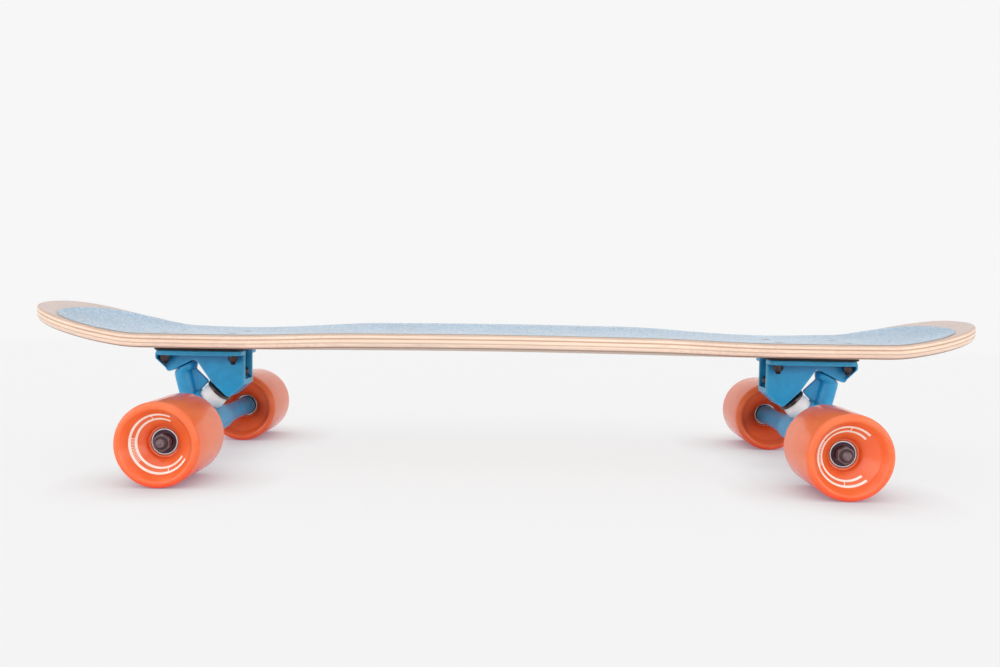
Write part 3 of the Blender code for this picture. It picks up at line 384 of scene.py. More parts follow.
def softened(corners, steps=5):
    # Rounds each (x, y, rounding) corner of a line with a short arc.
    line = []
    for at, (x, y, rounding) in enumerate(corners):
        if not rounding:
            line.append((x, y))
            continue
        here = Vector((x, y))
        before = (Vector(corners[at - 1][:2]) - here).normalized()
        after = (Vector(corners[(at + 1) % len(corners)][:2]) - here).normalized()
        half = before.angle(after) / 2
        centre = here + (before + after).normalized() * rounding / math.sin(half)
        start = here + before * rounding / math.tan(half) - centre
        end = here + after * rounding / math.tan(half) - centre
        sweep = start.angle_signed(end)
        for step in range(steps + 1):
            spoke = start.copy()
            spoke.rotate(Matrix.Rotation(-sweep * step / steps, 2))
            line.append(tuple(centre + spoke))
    return line


def skinned(name, loops, material, closed=False):
    # Skins equal loops of points. A closed stack joins its last loop to its first.
    count, rows = len(loops[0]), len(loops)
    faces = []
    for row in range(rows if closed else rows - 1):
        low, high = row * count, (row + 1) % rows * count
        for at in range(count):
            after = (at + 1) % count
            faces.append((low + at, low + after, high + after, high + at))
    if not closed:
        faces.append(tuple(range(count))[::-1])
        faces.append(tuple((rows - 1) * count + at for at in range(count)))
    return faceOut(newObject(name, [point for loop in loops for point in loop], faces, material))


# Geometry Nodes trees.

def newTree(name, sockets):
    # A modifier's tree with named inputs, listed as (name, type).
    tree = bpy.data.node_groups.new(name, "GeometryNodeTree")
    tree.is_modifier = True
    tree.interface.new_socket("Geometry", in_out="OUTPUT", socket_type="NodeSocketGeometry")
    tree.interface.new_socket("Geometry", in_out="INPUT", socket_type="NodeSocketGeometry")
    for label, kind in sockets:
        tree.interface.new_socket(label, in_out="INPUT", socket_type="NodeSocket" + kind)
    return tree, addNode(tree, "NodeGroupInput").outputs


def endTree(tree, geometry, material):
    # Gives the result its material on real geometry.
    real = addNode(tree, "GeometryNodeRealizeInstances", {"Geometry": geometry})
    coated = addNode(tree, "GeometryNodeSetMaterial", {"Geometry": real, "Material": material})
    addNode(tree, "NodeGroupOutput", {"Geometry": coated})
    return tree


def grow(item, tree, values):
    # Runs a tree on an object and keeps the result as a plain mesh.
    modifier = item.modifiers.new(tree.name, "NODES")
    modifier.node_group = tree
    sockets = {socket.name: socket.identifier for socket in tree.interface.items_tree
               if socket.in_out == "INPUT"}
    for label, value in values.items():
        modifier[sockets[label]] = value
    return plainMesh(item)


def makeSweepTree(name, arc):
    # Sweeps a section, drawn as (radius, distance along the axis), about Z: once round, or along an arc.
    angles = ("Start Angle", "Sweep Angle") if arc else ()
    tree, given = newTree(name, [(angle, "Float") for angle in angles] + [("Steps", "Int"),
                                                                          ("Material", "Material")])
    core = 0.01  # the path's own radius, taken off the section again
    path = addNode(tree, "GeometryNodeCurveArc" if arc else "GeometryNodeCurvePrimitiveCircle", {
        "Resolution": given["Steps"], "Radius": core, **{angle: given[angle] for angle in angles}})
    level = addNode(tree, "GeometryNodeSetCurveNormal", {"Curve": path}, mode="Z_UP")
    section = addNode(tree, "GeometryNodeTransform", {"Geometry": given["Geometry"],
                                                      "Translation": (-core, 0, 0)})
    skin = addNode(tree, "GeometryNodeCurveToMesh", {"Curve": level, "Profile Curve": section,
                                                     "Fill Caps": arc})
    whole = addNode(tree, "GeometryNodeMergeByDistance", {"Geometry": skin, "Distance": weld})
    about = addNode(tree, "GeometryNodeStoreNamedAttribute", {
        "Geometry": whole, "Name": "aboutAxis", "Value": addNode(tree, "GeometryNodeInputPosition")},
        data_type="FLOAT_VECTOR", domain="POINT")
    return endTree(tree, about, given["Material"])


def makeThreadTree():
    # Winds a ridge round a shank, as a cut thread stands on its core.
    tree, given = newTree("thread", (("Radius", "Float"), ("Pitch", "Float"), ("Turns", "Float"),
                                     ("Material", "Material")))
    path = addNode(tree, "GeometryNodeCurveSpiral", {
        "Resolution": 28, "Rotations": given["Turns"], "Start Radius": given["Radius"],
        "End Radius": given["Radius"], "Height": maths(tree, "MULTIPLY", given["Pitch"], given["Turns"])})
    level = addNode(tree, "GeometryNodeSetCurveNormal", {"Curve": path}, mode="Z_UP")
    crest = addNode(tree, "GeometryNodeCurvePrimitiveCircle", {
        "Resolution": 4, "Radius": maths(tree, "MULTIPLY", given["Pitch"], 0.36)})
    skin = addNode(tree, "GeometryNodeCurveToMesh", {"Curve": level, "Profile Curve": crest,
                                                     "Fill Caps": True})
    return endTree(tree, skin, given["Material"])


def makeMouldTree():
    # Presses a flat board to the mould's surface: both kicks and the low arch along X, the concave across Y.
    sizes = ("Under Height", "Thickness", "Nose Start", "Tail Start", "Bend Length", "Bend Radius",
             "Nose Radius", "Tail Radius", "Concave Depth", "Flat Half Width", "Body Half Width",
             "Camber Height", "Camber End")
    tree, given = newTree("pressMould", [(size, "Float") for size in sizes] + [("Material", "Material")])
    split = addNode(tree, "ShaderNodeSeparateXYZ", {0: addNode(tree, "GeometryNodeInputPosition")})
    known = {size: given[size] for size in sizes}
    known.update({axis: split.outputs[axis.upper()] for axis in ("x", "y", "z")})
    onNose = maths(tree, "LESS_THAN", known["x"], 0.0)
    for label, size in (("start", "Start"), ("radius", "Radius")):
        known[label] = addNode(tree, "ShaderNodeMix", {0: onNose, 2: given[f"Tail {size}"],
                                                       3: given[f"Nose {size}"]})
    rule = (
        ("reach", "ABSOLUTE", "x", 0.0), ("run", "SUBTRACT", "reach", "start"),
        ("past", "MAXIMUM", "run", 0.0),
        ("bend", "MINIMUM", "past", "Bend Length"), ("beyond", "SUBTRACT", "past", "bend"),
        ("bendSquare", "MULTIPLY", "bend", "bend"), ("bendWide", "MULTIPLY", "Bend Radius", 2.0),
        ("bendRise", "DIVIDE", "bendSquare", "bendWide"), ("slope", "DIVIDE", "Bend Length", "Bend Radius"),
        ("slopeRise", "MULTIPLY", "slope", "beyond"), ("kickSquare", "MULTIPLY", "beyond", "beyond"),
        ("kickWide", "MULTIPLY", "radius", 2.0), ("kickRise", "DIVIDE", "kickSquare", "kickWide"),
        ("side", "ABSOLUTE", "y", 0.0), ("outside", "SUBTRACT", "side", "Flat Half Width"),
        ("wing", "MAXIMUM", "outside", 0.0), ("room", "SUBTRACT", "Body Half Width", "Flat Half Width"),
        ("climb", "DIVIDE", "wing", "room"), ("climbSquare", "MULTIPLY", "climb", "climb"),
        ("concave", "MULTIPLY", "climbSquare", "Concave Depth"), ("bent", "ADD", "bendRise", "slopeRise"),
        ("kicked", "ADD", "bent", "kickRise"), ("moulded", "ADD", "kicked", "concave"),
        ("reachShare", "DIVIDE", "reach", "Camber End"), ("inArch", "MINIMUM", "reachShare", 1.0),
        ("archSquare", "MULTIPLY", "inArch", "inArch"), ("archLeft", "SUBTRACT", 1.0, "archSquare"),
        ("archShape", "MULTIPLY", "archLeft", "archLeft"), ("arch", "MULTIPLY", "archShape", "Camber Height"),
        ("arched", "ADD", "moulded", "arch"), ("lift", "ADD", "arched", "Under Height"),
        ("share", "DIVIDE", "z", "Thickness"),
    )
    for label, operation, first, second in rule:
        known[label] = maths(tree, operation, known.get(first, first), known.get(second, second))
    marked = addNode(tree, "GeometryNodeStoreNamedAttribute", {
        "Geometry": given["Geometry"], "Name": "plyHeight", "Value": known["share"]},
        data_type="FLOAT", domain="POINT")
    offset = addNode(tree, "ShaderNodeCombineXYZ", {"Z": known["lift"]})
    pressed = addNode(tree, "GeometryNodeSetPosition", {"Geometry": marked, "Offset": offset})
    return endTree(tree, pressed, given["Material"])


def makeFastenerTree():
    # Sets a fastener in the eight holes, two trucks with a grid of two by two, and coats what has the
    # second material apart.
    tree, given = newTree("fasteners", (
        ("First Truck", "Vector"), ("To Next Truck", "Vector"), ("Holes Long", "Float"),
        ("Holes Wide", "Float"), ("Seed", "Int"), ("Material", "Material"), ("Second Material", "Material")))
    trucks = addNode(tree, "GeometryNodeMeshLine", {"Count": 2, "Start Location": given["First Truck"],
                                                    "Offset": given["To Next Truck"]})
    grid = addNode(tree, "GeometryNodeMeshGrid", {"Size X": given["Holes Long"],
                                                  "Size Y": given["Holes Wide"],
                                                  "Vertices X": 2, "Vertices Y": 2})
    patterns = addNode(tree, "GeometryNodeInstanceOnPoints", {"Points": trucks, "Instance": grid})
    holes = addNode(tree, "GeometryNodeRealizeInstances", {"Geometry": patterns})
    turn = addNode(tree, "FunctionNodeRandomValue", {0: (0, 0, 0), 1: (0, 0, math.tau), 8: given["Seed"]},
                   data_type="FLOAT_VECTOR")
    fasteners = addNode(tree, "GeometryNodeInstanceOnPoints", {
        "Points": holes, "Instance": given["Geometry"], "Rotation": turn})
    real = addNode(tree, "GeometryNodeRealizeInstances", {"Geometry": fasteners})
    isSecond = addNode(tree, "FunctionNodeCompare", {2: addNode(tree, "GeometryNodeInputMaterialIndex"),
                                                     3: 1},
                       data_type="INT", operation="GREATER_EQUAL")
    coated = addNode(tree, "GeometryNodeSetMaterial", {"Geometry": real, "Material": given["Material"]})
    both = addNode(tree, "GeometryNodeSetMaterial", {"Geometry": coated, "Selection": isSecond,
                                                     "Material": given["Second Material"]})
    addNode(tree, "NodeGroupOutput", {"Geometry": both})
    return tree


latheTree, arcTree = makeSweepTree("lathe", False), makeSweepTree("inkArc", True)
threadTree, mouldTree, fastenerTree = makeThreadTree(), makeMouldTree(), makeFastenerTree()


def turned(name, section, material, segments):
    # A piece turned from a section of (radius, distance along Z).
    return faceOut(grow(sectionCurve(name, section), latheTree, {"Steps": segments, "Material": material}))


def threaded(radius, pitch, start, end, material):
    # The ridge of a thread round Z, between two heights. Its core is the shank that it stands on.
    item = newObject("threadRidge", [(0, 0, 0)], [], material)
    turns = (end - start) / pitch
    made = grow(item, threadTree, {"Radius": radius, "Pitch": pitch, "Turns": turns, "Material": material})
    return faceOut(placed(made, Matrix.Translation((0, 0, start))), threadCrease)


def hexNut(name, width, height, hole, material):
    # A hexagon whose corners are cut by the same cone at both ends, as bar stock is.
    cone, faceShare, bevelShare, count = math.radians(30), 0.97, 0.06, 72
    flat, bore, slope, chamfer = width / 2, hole / 2, math.tan(cone), hole * bevelShare
    face = flat * faceShare
    loops = [[] for _ in range(8)]
    for at in range(count):
        angle = math.tau * at / count
        reach = flat / math.cos((angle + math.pi / 6) % (math.pi / 3) - math.pi / 6)
        cut = (reach - face) * slope
        section = ((bore + chamfer, 0), (face, 0), (reach, cut), (reach, height - cut), (face, height),
                   (bore + chamfer, height), (bore, height - chamfer), (bore, chamfer))
        for loop, (radius, along) in zip(loops, section):
            loop.append((radius * math.cos(angle), radius * math.sin(angle), along))
    return skinned(name, loops, material, closed=True)


def lockNut(name, width, height, hole, steel, collarTop, collarRadius, collarBore, rounding, segments):
    # A hexagon nut with a nylon collar that stands out of its end.
    sunk = 0.0004
    collar = softened([(collarBore, height - sunk, 0), (collarRadius, height - sunk, 0),
                       (collarRadius, collarTop, rounding), (collarBore, collarTop, sunk)])
    return joined(name, [hexNut(name, width, height, hole, steel),
                         turned("collar", collar, nylonFinish, segments)])


# Deck and grip sheet: cut flat to the outline, then pressed in one mould.

deckSpec = {
    "length": 0.851, "bodyHalfWidth": 0.0965, "neckHalfWidth": 0.0635, "lobeHalfWidth": 0.075,
    "bodyEnd": 0.128, "neckAt": 0.263, "lobeAt": 0.350, "tipRoundness": 2.6,
    "thickness": 0.0120, "edgeRadius": 0.003, "bodyRows": 14, "neckRows": 26, "lobeRows": 18, "tipRows": 22,
    "acrossRows": 22,
}
mould = {
    "Under Height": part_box("deck")[0].z, "Thickness": deckSpec["thickness"], "Nose Start": 0.3160,
    "Tail Start": 0.3325, "Bend Length": 0.0165, "Bend Radius": 0.110, "Nose Radius": 0.310,
    "Tail Radius": 0.280, "Concave Depth": 0.0065, "Flat Half Width": 0.020,
    "Body Half Width": deckSpec["bodyHalfWidth"], "Camber Height": 0.0016, "Camber End": 0.23285,
}
gripSpec = {"thickness": 0.0007, "sideMargin": 0.0045, "tipMargin": 0.019}
boltSpec = {
    "long": 0.0635, "wide": 0.0413, "diameter": 0.0048, "head": 0.0092, "headDepth": 0.0026, "hole": 0.0056,
    "proud": 0.0025, "pitch": 0.0008, "recess": 0.0046, "recessWidth": 0.0011, "recessDepth": 0.0016,
    "nutWidth": 0.0080, "nutHeight": 0.0042, "collar": 0.0014, "collarWidth": 0.0069, "seed": 7,
}
deckTop = mould["Under Height"] + deckSpec["thickness"]


def middleOf(*nodes):
    # The middle of the boxes of some solids.
    corners = [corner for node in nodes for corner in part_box(node)]
    return Vector([(min(c[axis] for c in corners) + max(c[axis] for c in corners)) / 2 for axis in range(3)])


plateMiddles = {truck: middleOf(f"{truck}_outer_left_bolt", f"{truck}_inner_right_bolt")
                for truck in ("front", "rear")}


def halfWidthAt(x):
    # The waisted outline between the two lobes, eased from size to size.
    spec, reach = deckSpec, abs(x)
    if reach <= spec["bodyEnd"]:
        return spec["bodyHalfWidth"]
    if reach <= spec["neckAt"]:
        low, high, start, end = "bodyHalfWidth", "neckHalfWidth", "bodyEnd", "neckAt"
    else:
        low, high, start, end = "neckHalfWidth", "lobeHalfWidth", "neckAt", "lobeAt"
    share = (reach - spec[start]) / (spec[end] - spec[start])
    return spec[low] + (spec[high] - spec[low]) * share * share * (3 - 2 * share)


def outlineSide(sideMargin=0.0, tipMargin=0.0):
    # The outline's +Y side from the nose tip to the tail tip.
    spec = deckSpec
    stops = (("bodyRows", 0.0, spec["bodyEnd"]), ("neckRows", spec["bodyEnd"], spec["neckAt"]),
             ("lobeRows", spec["neckAt"], spec["lobeAt"]))
    stations = [0.0]
    for rows, start, end in stops:
        stations += [start + (end - start) * (at + 1) / spec[rows] for at in range(spec[rows])]
    side = [(x, halfWidthAt(x) - sideMargin) for x in stations]
    reach = spec["length"] / 2 - tipMargin - spec["lobeAt"]
    lobe = spec["lobeHalfWidth"] - sideMargin
    power = 2 / spec["tipRoundness"]
    for at in range(1, spec["tipRows"] + 1):
        angle = math.pi / 2 * at / spec["tipRows"]
        across = max(math.cos(angle), 0.0) ** power if at < spec["tipRows"] else 0.0
        side.append((spec["lobeAt"] + reach * math.sin(angle) ** power, lobe * across))
    return [(-x, y) for x, y in side[:0:-1]] + side


def insetSide(side, inset):
    # Moves the side inwards by a distance and keeps its tips on the centre line.
    moved = []
    for at, (x, y) in enumerate(side):
        before = side[at - 1] if at else (side[1][0], -side[1][1])
        after = side[at + 1] if at + 1 < len(side) else (side[-2][0], -side[-2][1])
        along = Vector((after[0] - before[0], after[1] - before[1])).normalized()
        moved.append((x + along.y * inset, max(y - along.x * inset, 0.0)))
    moved[0], moved[-1] = (moved[0][0], 0.0), (moved[-1][0], 0.0)
    return moved


def flatBoard(name, side, levels, material):
    # A flat board of an outline. Levels list (inset, height) from its lower face round the edge to its top.
    points, faces = [], []
    half = len(side)
    count = 2 * half - 2
    for inset, height in levels:
        line = insetSide(side, inset)
        points += [(x, y, height) for x, y in line] + [(x, -y, height) for x, y in line[-2:0:-1]]
    for row in range(len(levels) - 1):
        for at in range(count):
            after = (at + 1) % count
            faces.append((row * count + at, row * count + after, (row + 1) * count + after,
                          (row + 1) * count + at))
    rows = deckSpec["acrossRows"]
    for base, (inset, height) in ((0, levels[0]), ((len(levels) - 1) * count, levels[-1])):
        line = insetSide(side, inset)
        lanes = []
        for at in range(1, half - 1):
            x, y = line[at]
            lane = [base + at]
            for step in range(1, rows):
                lane.append(len(points))
                points.append((x, y * (1 - 2 * step / rows), height))
            lane.append(base + count - at)
            lanes.append(lane)
        for first, second in zip(lanes, lanes[1:]):
            faces += [(first[at], first[at + 1], second[at + 1], second[at]) for at in range(rows)]
        for tip, lane in ((base, lanes[0]), (base + half - 1, lanes[-1])):
            faces += [(tip, lane[at], lane[at + 1]) for at in range(rows)]
    return newObject(name, points, faces, material)


def holeSpots(middle, height=0.0):
    # The four bolt holes about a place along the board.
    return [Matrix.Translation((middle + along * boltSpec["long"] / 2, across * boltSpec["wide"] / 2, height))
            for along in (-1, 1) for across in (-1, 1)]


def edgeLevels(thickness, radius, steps=5):
    # The rounded edge of a board, from its lower face to its top.
    turn = [math.pi / 2 * step / steps for step in range(steps + 1)]
    low = [(radius * (1 - math.sin(angle)), radius * (1 - math.cos(angle))) for angle in turn]
    return low + [(inset, thickness - height) for inset, height in reversed(low)]


def pressed(name, side, levels, finish, punch):
    # A layer cut flat to its outline, pressed in the mould and punched with the eight bolt holes.
    board = grow(flatBoard(name, side, levels, finish), mouldTree, {**mould, "Material": finish})
    holes = [placed(turned("boltHole", punch, maplePly, 32), spot)
             for middle in plateMiddles.values() for spot in holeSpots(middle.x, deckTop)]
    return faceOut(carved(faceOut(board, sheetCrease), holes), sheetCrease)


def makeDeck():
    spec = deckSpec
    hole, rim, sink = boltSpec["hole"] / 2, boltSpec["head"] / 2 + fit, boltSpec["headDepth"] + fit
    below = -2 * spec["thickness"]
    levels = edgeLevels(spec["thickness"], spec["edgeRadius"])
    punch = [(0, below), (hole, below), (hole, -sink), (rim, -fit / 2), (rim, sink), (0, sink)]
    dress(pressed("deckBoard", outlineSide(), levels, maplePly, punch), "deckBoard", "board", "maple", "deck")

    base = spec["thickness"] + fit
    levels = [(inset, base + height) for inset, height in edgeLevels(gripSpec["thickness"], 0.0002, 2)]
    side = outlineSide(gripSpec["sideMargin"], gripSpec["tipMargin"])
    punch = [(0, -sink), (rim, -sink), (rim, sink), (0, sink)]
    dress(pressed("gripSheet", side, levels, gripFinish, punch), "gripSheet", "board", "grip", "griptape")
    print("deck and grip sheet made")


def makeDeckHardware():
    # Countersunk bolts with a cross recess, and lock nuts with nylon collars, eight of each.
    spec = boltSpec
    radius, head, rise = spec["diameter"] / 2 - fit, spec["head"] / 2, gripSpec["thickness"]
    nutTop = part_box("front_outer_left_lock_nut")[1].z
    end = nutTop - spec["nutHeight"] - spec["collar"] - spec["proud"] - deckTop
    section = softened([(0, end, 0), (radius, end, 0.0003), (radius, -spec["headDepth"], 0.0002),
                        (head, -fit, 0), (head, rise - fit, 0.0002), (head * 0.7, rise, 0), (0, rise, 0)], 4)
    bolt = turned("deckBolt", section, darkSteel, 36)
    wide, long, deep = spec["recessWidth"] / 2, spec["recess"] / 2, spec["recessDepth"]
    corners = ((-long, -wide), (long, -wide), (long, wide), (-long, wide))
    loops = [[(x * share, y * narrow, z) for x, y in corners]
             for z, share, narrow in ((rise - deep, 0.45, 0.8), (rise + deep / 4, 1.0, 1.0))]
    bolt = carved(bolt, [placed(skinned("recess", loops, darkSteel), Matrix.Rotation(angle, 4, "Z"))
                         for angle in (0, math.pi / 2)])
    ridge = threaded(radius, spec["pitch"], end + fit, end + spec["proud"] + spec["nutHeight"], darkSteel)
    bolt = joined("deckBolts", [bolt, ridge])
    nut = lockNut("lockNuts", spec["nutWidth"], spec["nutHeight"], spec["hole"], darkSteel,
                  spec["nutHeight"] + spec["collar"], spec["collarWidth"] / 2, spec["hole"] / 2 - fit,
                  0.0006, 36)
    placed(nut, Matrix.Rotation(math.pi, 4, "X"))
    sets = (("deckBolts", bolt, deckTop, darkSteel, "bolt", sheetCrease),
            ("lockNuts", nut, nutTop, nylonFinish, "lock_nut", nutCrease))
    for name, item, top, second, node, crease in sets:
        eight = grow(item, fastenerTree, {
            "First Truck": Vector((plateMiddles["front"].x, 0, top)),
            "To Next Truck": plateMiddles["rear"] - plateMiddles["front"], "Holes Long": spec["long"],
            "Holes Wide": spec["wide"], "Seed": spec["seed"], "Material": darkSteel,
            "Second Material": second})
        nodes = [f"{truck}_{end}_{side}_{node}" for truck in ("front", "rear") for end in ("outer", "inner")
                 for side in ("left", "right")]
        dress(faceOut(eight, crease), name, "board", "dark_steel", *nodes)
    print("deck hardware made")


# Trucks. Each piece is made in the truck's own frame, with its origin on the axle's middle and +X
# towards the board's middle, and copied to both ends.

truckSpec = {
    "plateTop": 0.0671, "plateLength": 0.0795, "plateWidth": 0.056, "plateThickness": 0.0044,
    "plateCorner": 0.008, "plateOffset": -0.0076, "bodyWidth": 0.0262, "bodyEdge": 0.0012,
    "endWall": 0.0016, "endWallDrop": 0.0075, "endWallMargin": 0.002, "crotchRun": 0.0034,
    "heelAngle": 40.0, "pocketWidth": 0.0188, "riserThickness": 0.0027, "riserOverhang": 0.0018,
    "seatX": 0.0069, "seatZ": 0.0309, "pinAngle": 46.0, "pinDiameter": 0.0095, "pinPitch": 0.00106,
    "pinNutWidth": 0.0143, "pinHeadHeight": 0.006, "pinNutHeight": 0.0065, "pinProud": 0.0025,
    "headDepth": 0.022, "seatLowReach": 0.013, "seatHighReach": 0.0092,
    "cupDiameter": 0.0252, "cupFlat": 0.0172, "cupShoulder": 0.0029, "cupHeight": 0.0053, "cupWall": 0.0013,
    "boardsideDiameter": 0.0236, "boardsideTop": 0.0216, "boardsideLength": 0.017,
    "roadsideDiameter": 0.0216, "roadsideEnd": 0.018, "roadsideLength": 0.0105,
    "washerDiameter": 0.0202, "washerThickness": 0.0018, "steerRoom": 0.0045,
    "ringWeb": 0.0078, "ringDiameter": 0.029, "ringRim": 0.0022, "ringBore": 0.014,
    "steerAngle": 63.0, "pivotReach": 0.0420, "pivotRadius": 0.006, "pivotLength": 0.009,
    "cupSide": 0.0024, "cupFloor": 0.0019, "housingWall": 0.0036, "collarRadius": 0.0105,
    "collarWaist": 0.0084, "collarHeight": 0.003, "collarGap": 0.0007, "hangerWidth": 0.180,
    "armRadius": 0.0087, "armShoulderRadius": 0.0097, "armEndRadius": 0.0096, "armEndFlare": 0.005,
    "armRootRadius": 0.0122, "neckWidth": 0.018, "neckMouth": 0.0244, "neckTilt": 70.0,
    "neckBendDepth": 0.0085, "neckLean": 0.0052, "neckFootDrop": 0.0045, "webThickness": 0.0052,
    "webDepth": 0.005, "webReach": 0.0335, "webCorner": 0.0014, "ribHalfWidth": 0.0196, "ribEdge": 0.003,
    "ribFront": 0.0095, "ribRise": 0.004, "bearingOuter": 0.022, "axleDiameter": 0.008,
    "axlePitch": 0.00106, "hubLength": 0.026, "axleNutWidth": 0.013, "axleNutHeight": 0.0065,
    "axleEnd": 0.0019, "hangerGrain": 0.0007, "plateGrain": 0.00055,
    "threadLength": 0.0125, "threadDepth": 0.0004, "threadLead": 0.0006, "pinTip": 0.0007, "axleTip": 0.0009,
    "pinNutSteel": 0.8, "axleNutSteel": 0.78, "headSunk": 0.9, "nutCollarShare": 0.43,
    "plateEdge": 0.0004, "plateSoftening": 8, "hangerSoftening": 6, "boreStart": 0.002,
}
pinTurn, steerTurn = math.radians(truckSpec["pinAngle"]), math.radians(truckSpec["steerAngle"])
pinLine = Vector((-math.cos(pinTurn), 0, -math.sin(pinTurn)))
pinAcross = Vector((-pinLine.z, 0, pinLine.x))
steerLine = Vector((-math.cos(steerTurn), 0, math.sin(steerTurn)))
steerAcross = Vector((-steerLine.z, 0, steerLine.x))
cupFace = fit + truckSpec["cupWall"]
boardsideStart = cupFace + fit
ringTop = boardsideStart + truckSpec["boardsideLength"] + fit
ringBottom = ringTop + truckSpec["ringWeb"]
roadsideStart = ringBottom + fit
washerStart = roadsideStart + truckSpec["roadsideLength"] + fit
pinNutStart = washerStart + truckSpec["washerThickness"] + fit
pinEnd = pinNutStart + truckSpec["pinNutHeight"] + truckSpec["pinProud"]
pinSeat = Vector((truckSpec["seatX"], 0, truckSpec["seatZ"]))
pivotMouth = pinSeat + pinLine * (ringTop + ringBottom) / 2 + steerLine * truckSpec["pivotReach"]
cupRadius = truckSpec["pivotRadius"] + fit + truckSpec["cupSide"]
cupLength = truckSpec["pivotLength"] + fit + truckSpec["cupFloor"]
cupFall = (truckSpec["cupShoulder"] - fit) / ((truckSpec["cupDiameter"] - truckSpec["cupFlat"]) / 2)
nutStart = truckSpec["hangerWidth"] / 2 + 2 * fit + truckSpec["hubLength"]
truckPlaces = {"front": Matrix.Translation(middleOf("front_axle")),
               "rear": Matrix.Translation(middleOf("rear_axle")) @ Matrix.Rotation(math.pi, 4, "Z")}
pinPlace, steerPlace = alongLine(pinSeat, pinLine), alongLine(pivotMouth, steerLine)
axlePlace = alongLine(Vector(), (0, 1, 0))


def onPin(depth, across=0.0):
    # A point on the kingpin's line, from its seat under the baseplate towards the ground.
    return pinSeat + pinLine * depth + pinAcross * across


def onSteer(height, across=0.0):
    # A point on the steering line, from the pivot housing's mouth upwards.
    return pivotMouth + steerLine * height + steerAcross * across


def slab(name, line, halfWidth):
    # A line of (x, z) points, extruded both ways along Y.
    return skinned(name, [[(x, side * halfWidth, z) for x, z in line] for side in (-1, 1)], truckPaint)


def layer(name, length, width, corner, bottom, top, material):
    # A flat plate with round corners and eased edges about the four holes.
    offset, edge = truckSpec["plateOffset"], truckSpec["plateEdge"]
    loops = []
    for inset, z in ((edge, bottom), (0, bottom + edge), (0, top - edge), (edge, top)):
        corners = [(offset + sx * (length / 2 - inset), sy * (width / 2 - inset), corner - inset)
                   for sx, sy in ((-1, -1), (1, -1), (1, 1), (-1, 1))]
        loops.append([(x, y, z) for x, y in softened(corners, 8)])
    return skinned(name, loops, material)


def drill(radius, start, end, matrix, segments=40):
    # A round cutter between two heights on a line.
    section = [(0, start), (radius, start), (radius, end), (0, end)]
    return placed(turned("drill", section, truckPaint, segments), matrix)


def plateHoles(bottom, top):
    return [drill(boltSpec["hole"] / 2, bottom, top, spot, 28)
            for spot in holeSpots(truckSpec["plateOffset"])]


def dome(radius, shoulder):
    # A quarter round, from the axis to the shoulder.
    turns = [math.radians(angle) for angle in range(0, 91, 10)]
    return [(radius * math.sin(turn), shoulder + radius * math.cos(turn)) for turn in turns]


def cast(name, blanks, grain, passes):
    # Fuses overlapping blanks to one skin and softens it, which leaves the fillets of a casting.
    item = joined(name, blanks)
    remesh = item.modifiers.new("fuse", "REMESH")
    remesh.mode = "VOXEL"
    remesh.voxel_size = grain
    smooth = item.modifiers.new("soften", "SMOOTH")
    smooth.factor = 0.5
    smooth.iterations = passes
    item = plainMesh(item)
    item.data.materials.clear()
    item.data.materials.append(truckPaint)
    return item


def makeEndWall(outer, lobe):
    # The wall across the outer end, as wide as the plate at its top and drawn in to the housing below.
    spec, thick = truckSpec, truckSpec["endWall"]
    wide, narrow = spec["plateWidth"] / 2 - spec["endWallMargin"], spec["bodyWidth"] / 2 - spec["bodyEdge"]
    levels = ((outer, spec["plateTop"] - spec["plateThickness"] / 2, wide),
              (outer, spec["plateTop"] - spec["endWallDrop"], wide), (lobe.x, lobe.z + thick, narrow))
    loops = [[(x, -half, z), (x + thick, -half, z), (x + thick, half, z), (x, half, z)]
             for x, z, half in levels]
    return skinned("endWall", loops, truckPaint)


def makeBaseplate():
    spec, edge = truckSpec, truckSpec["bodyEdge"]
    thick, plateTop, depth = spec["plateThickness"], spec["plateTop"], -spec["headDepth"]
    outer, inner = [spec["plateOffset"] + end * spec["plateLength"] / 2 for end in (-1, 1)]
    face, bottom, top = outer + edge / 2, plateTop - thick, plateTop - thick / 3
    housing = cupRadius + fit + spec["housingWall"]
    lobe, crotch = onSteer(0, housing + edge), onSteer(0, -housing)
    seatLow, seatHigh = onPin(0, spec["seatLowReach"]), onPin(0, -spec["seatHighReach"])
    heel = seatLow.z + (inner - seatLow.x) * math.tan(math.radians(spec["heelAngle"]))
    corners = [(face, top, 0), (face, plateTop - spec["endWallDrop"], 3 * edge), (lobe.x, lobe.z, 2 * edge),
               (crotch.x, crotch.z, 2 * edge), (crotch.x + spec["crotchRun"], crotch.z, edge),
               (seatHigh.x, seatHigh.z, 5 * edge), (seatLow.x, seatLow.z, 3 * edge),
               (inner - fit, heel, 2 * edge), (inner - fit, top, 0)]
    body = slab("baseplate", softened(corners, 6), spec["bodyWidth"] / 2)
    plate = layer("plate", spec["plateLength"], spec["plateWidth"], spec["plateCorner"], bottom, plateTop,
                  truckPaint)
    body = cast("baseplate", [body, plate, makeEndWall(face + fit, lobe)], spec["plateGrain"],
                spec["plateSoftening"])

    # The head pocket opens through the inner end, up to the riser, and the bores are drilled after painting.
    room, above, beyond = spec["pinNutWidth"] / math.sqrt(3) + 6 * fit, plateTop + thick, inner + thick
    high, low = onPin(depth, -room), onPin(depth, room)
    bend = high - pinLine * ((above - high.z) / -pinLine.z)
    pocketLine = [(high.x, high.z), (low.x, low.z), (beyond, low.z), (beyond, above), (bend.x, above)]
    pocket = slab("pocket", pocketLine, spec["pocketWidth"] / 2)
    bore, pivot = spec["pinDiameter"] / 2 + fit, cupRadius + fit
    cutters = [pocket, drill(bore, depth - bore, 2 * bore, pinPlace),
               drill(pivot, -pivot, cupLength + fit, steerPlace, 48)]
    return faceOut(carved(body, cutters + plateHoles(bottom - thick, 2 * plateTop)), castCrease)


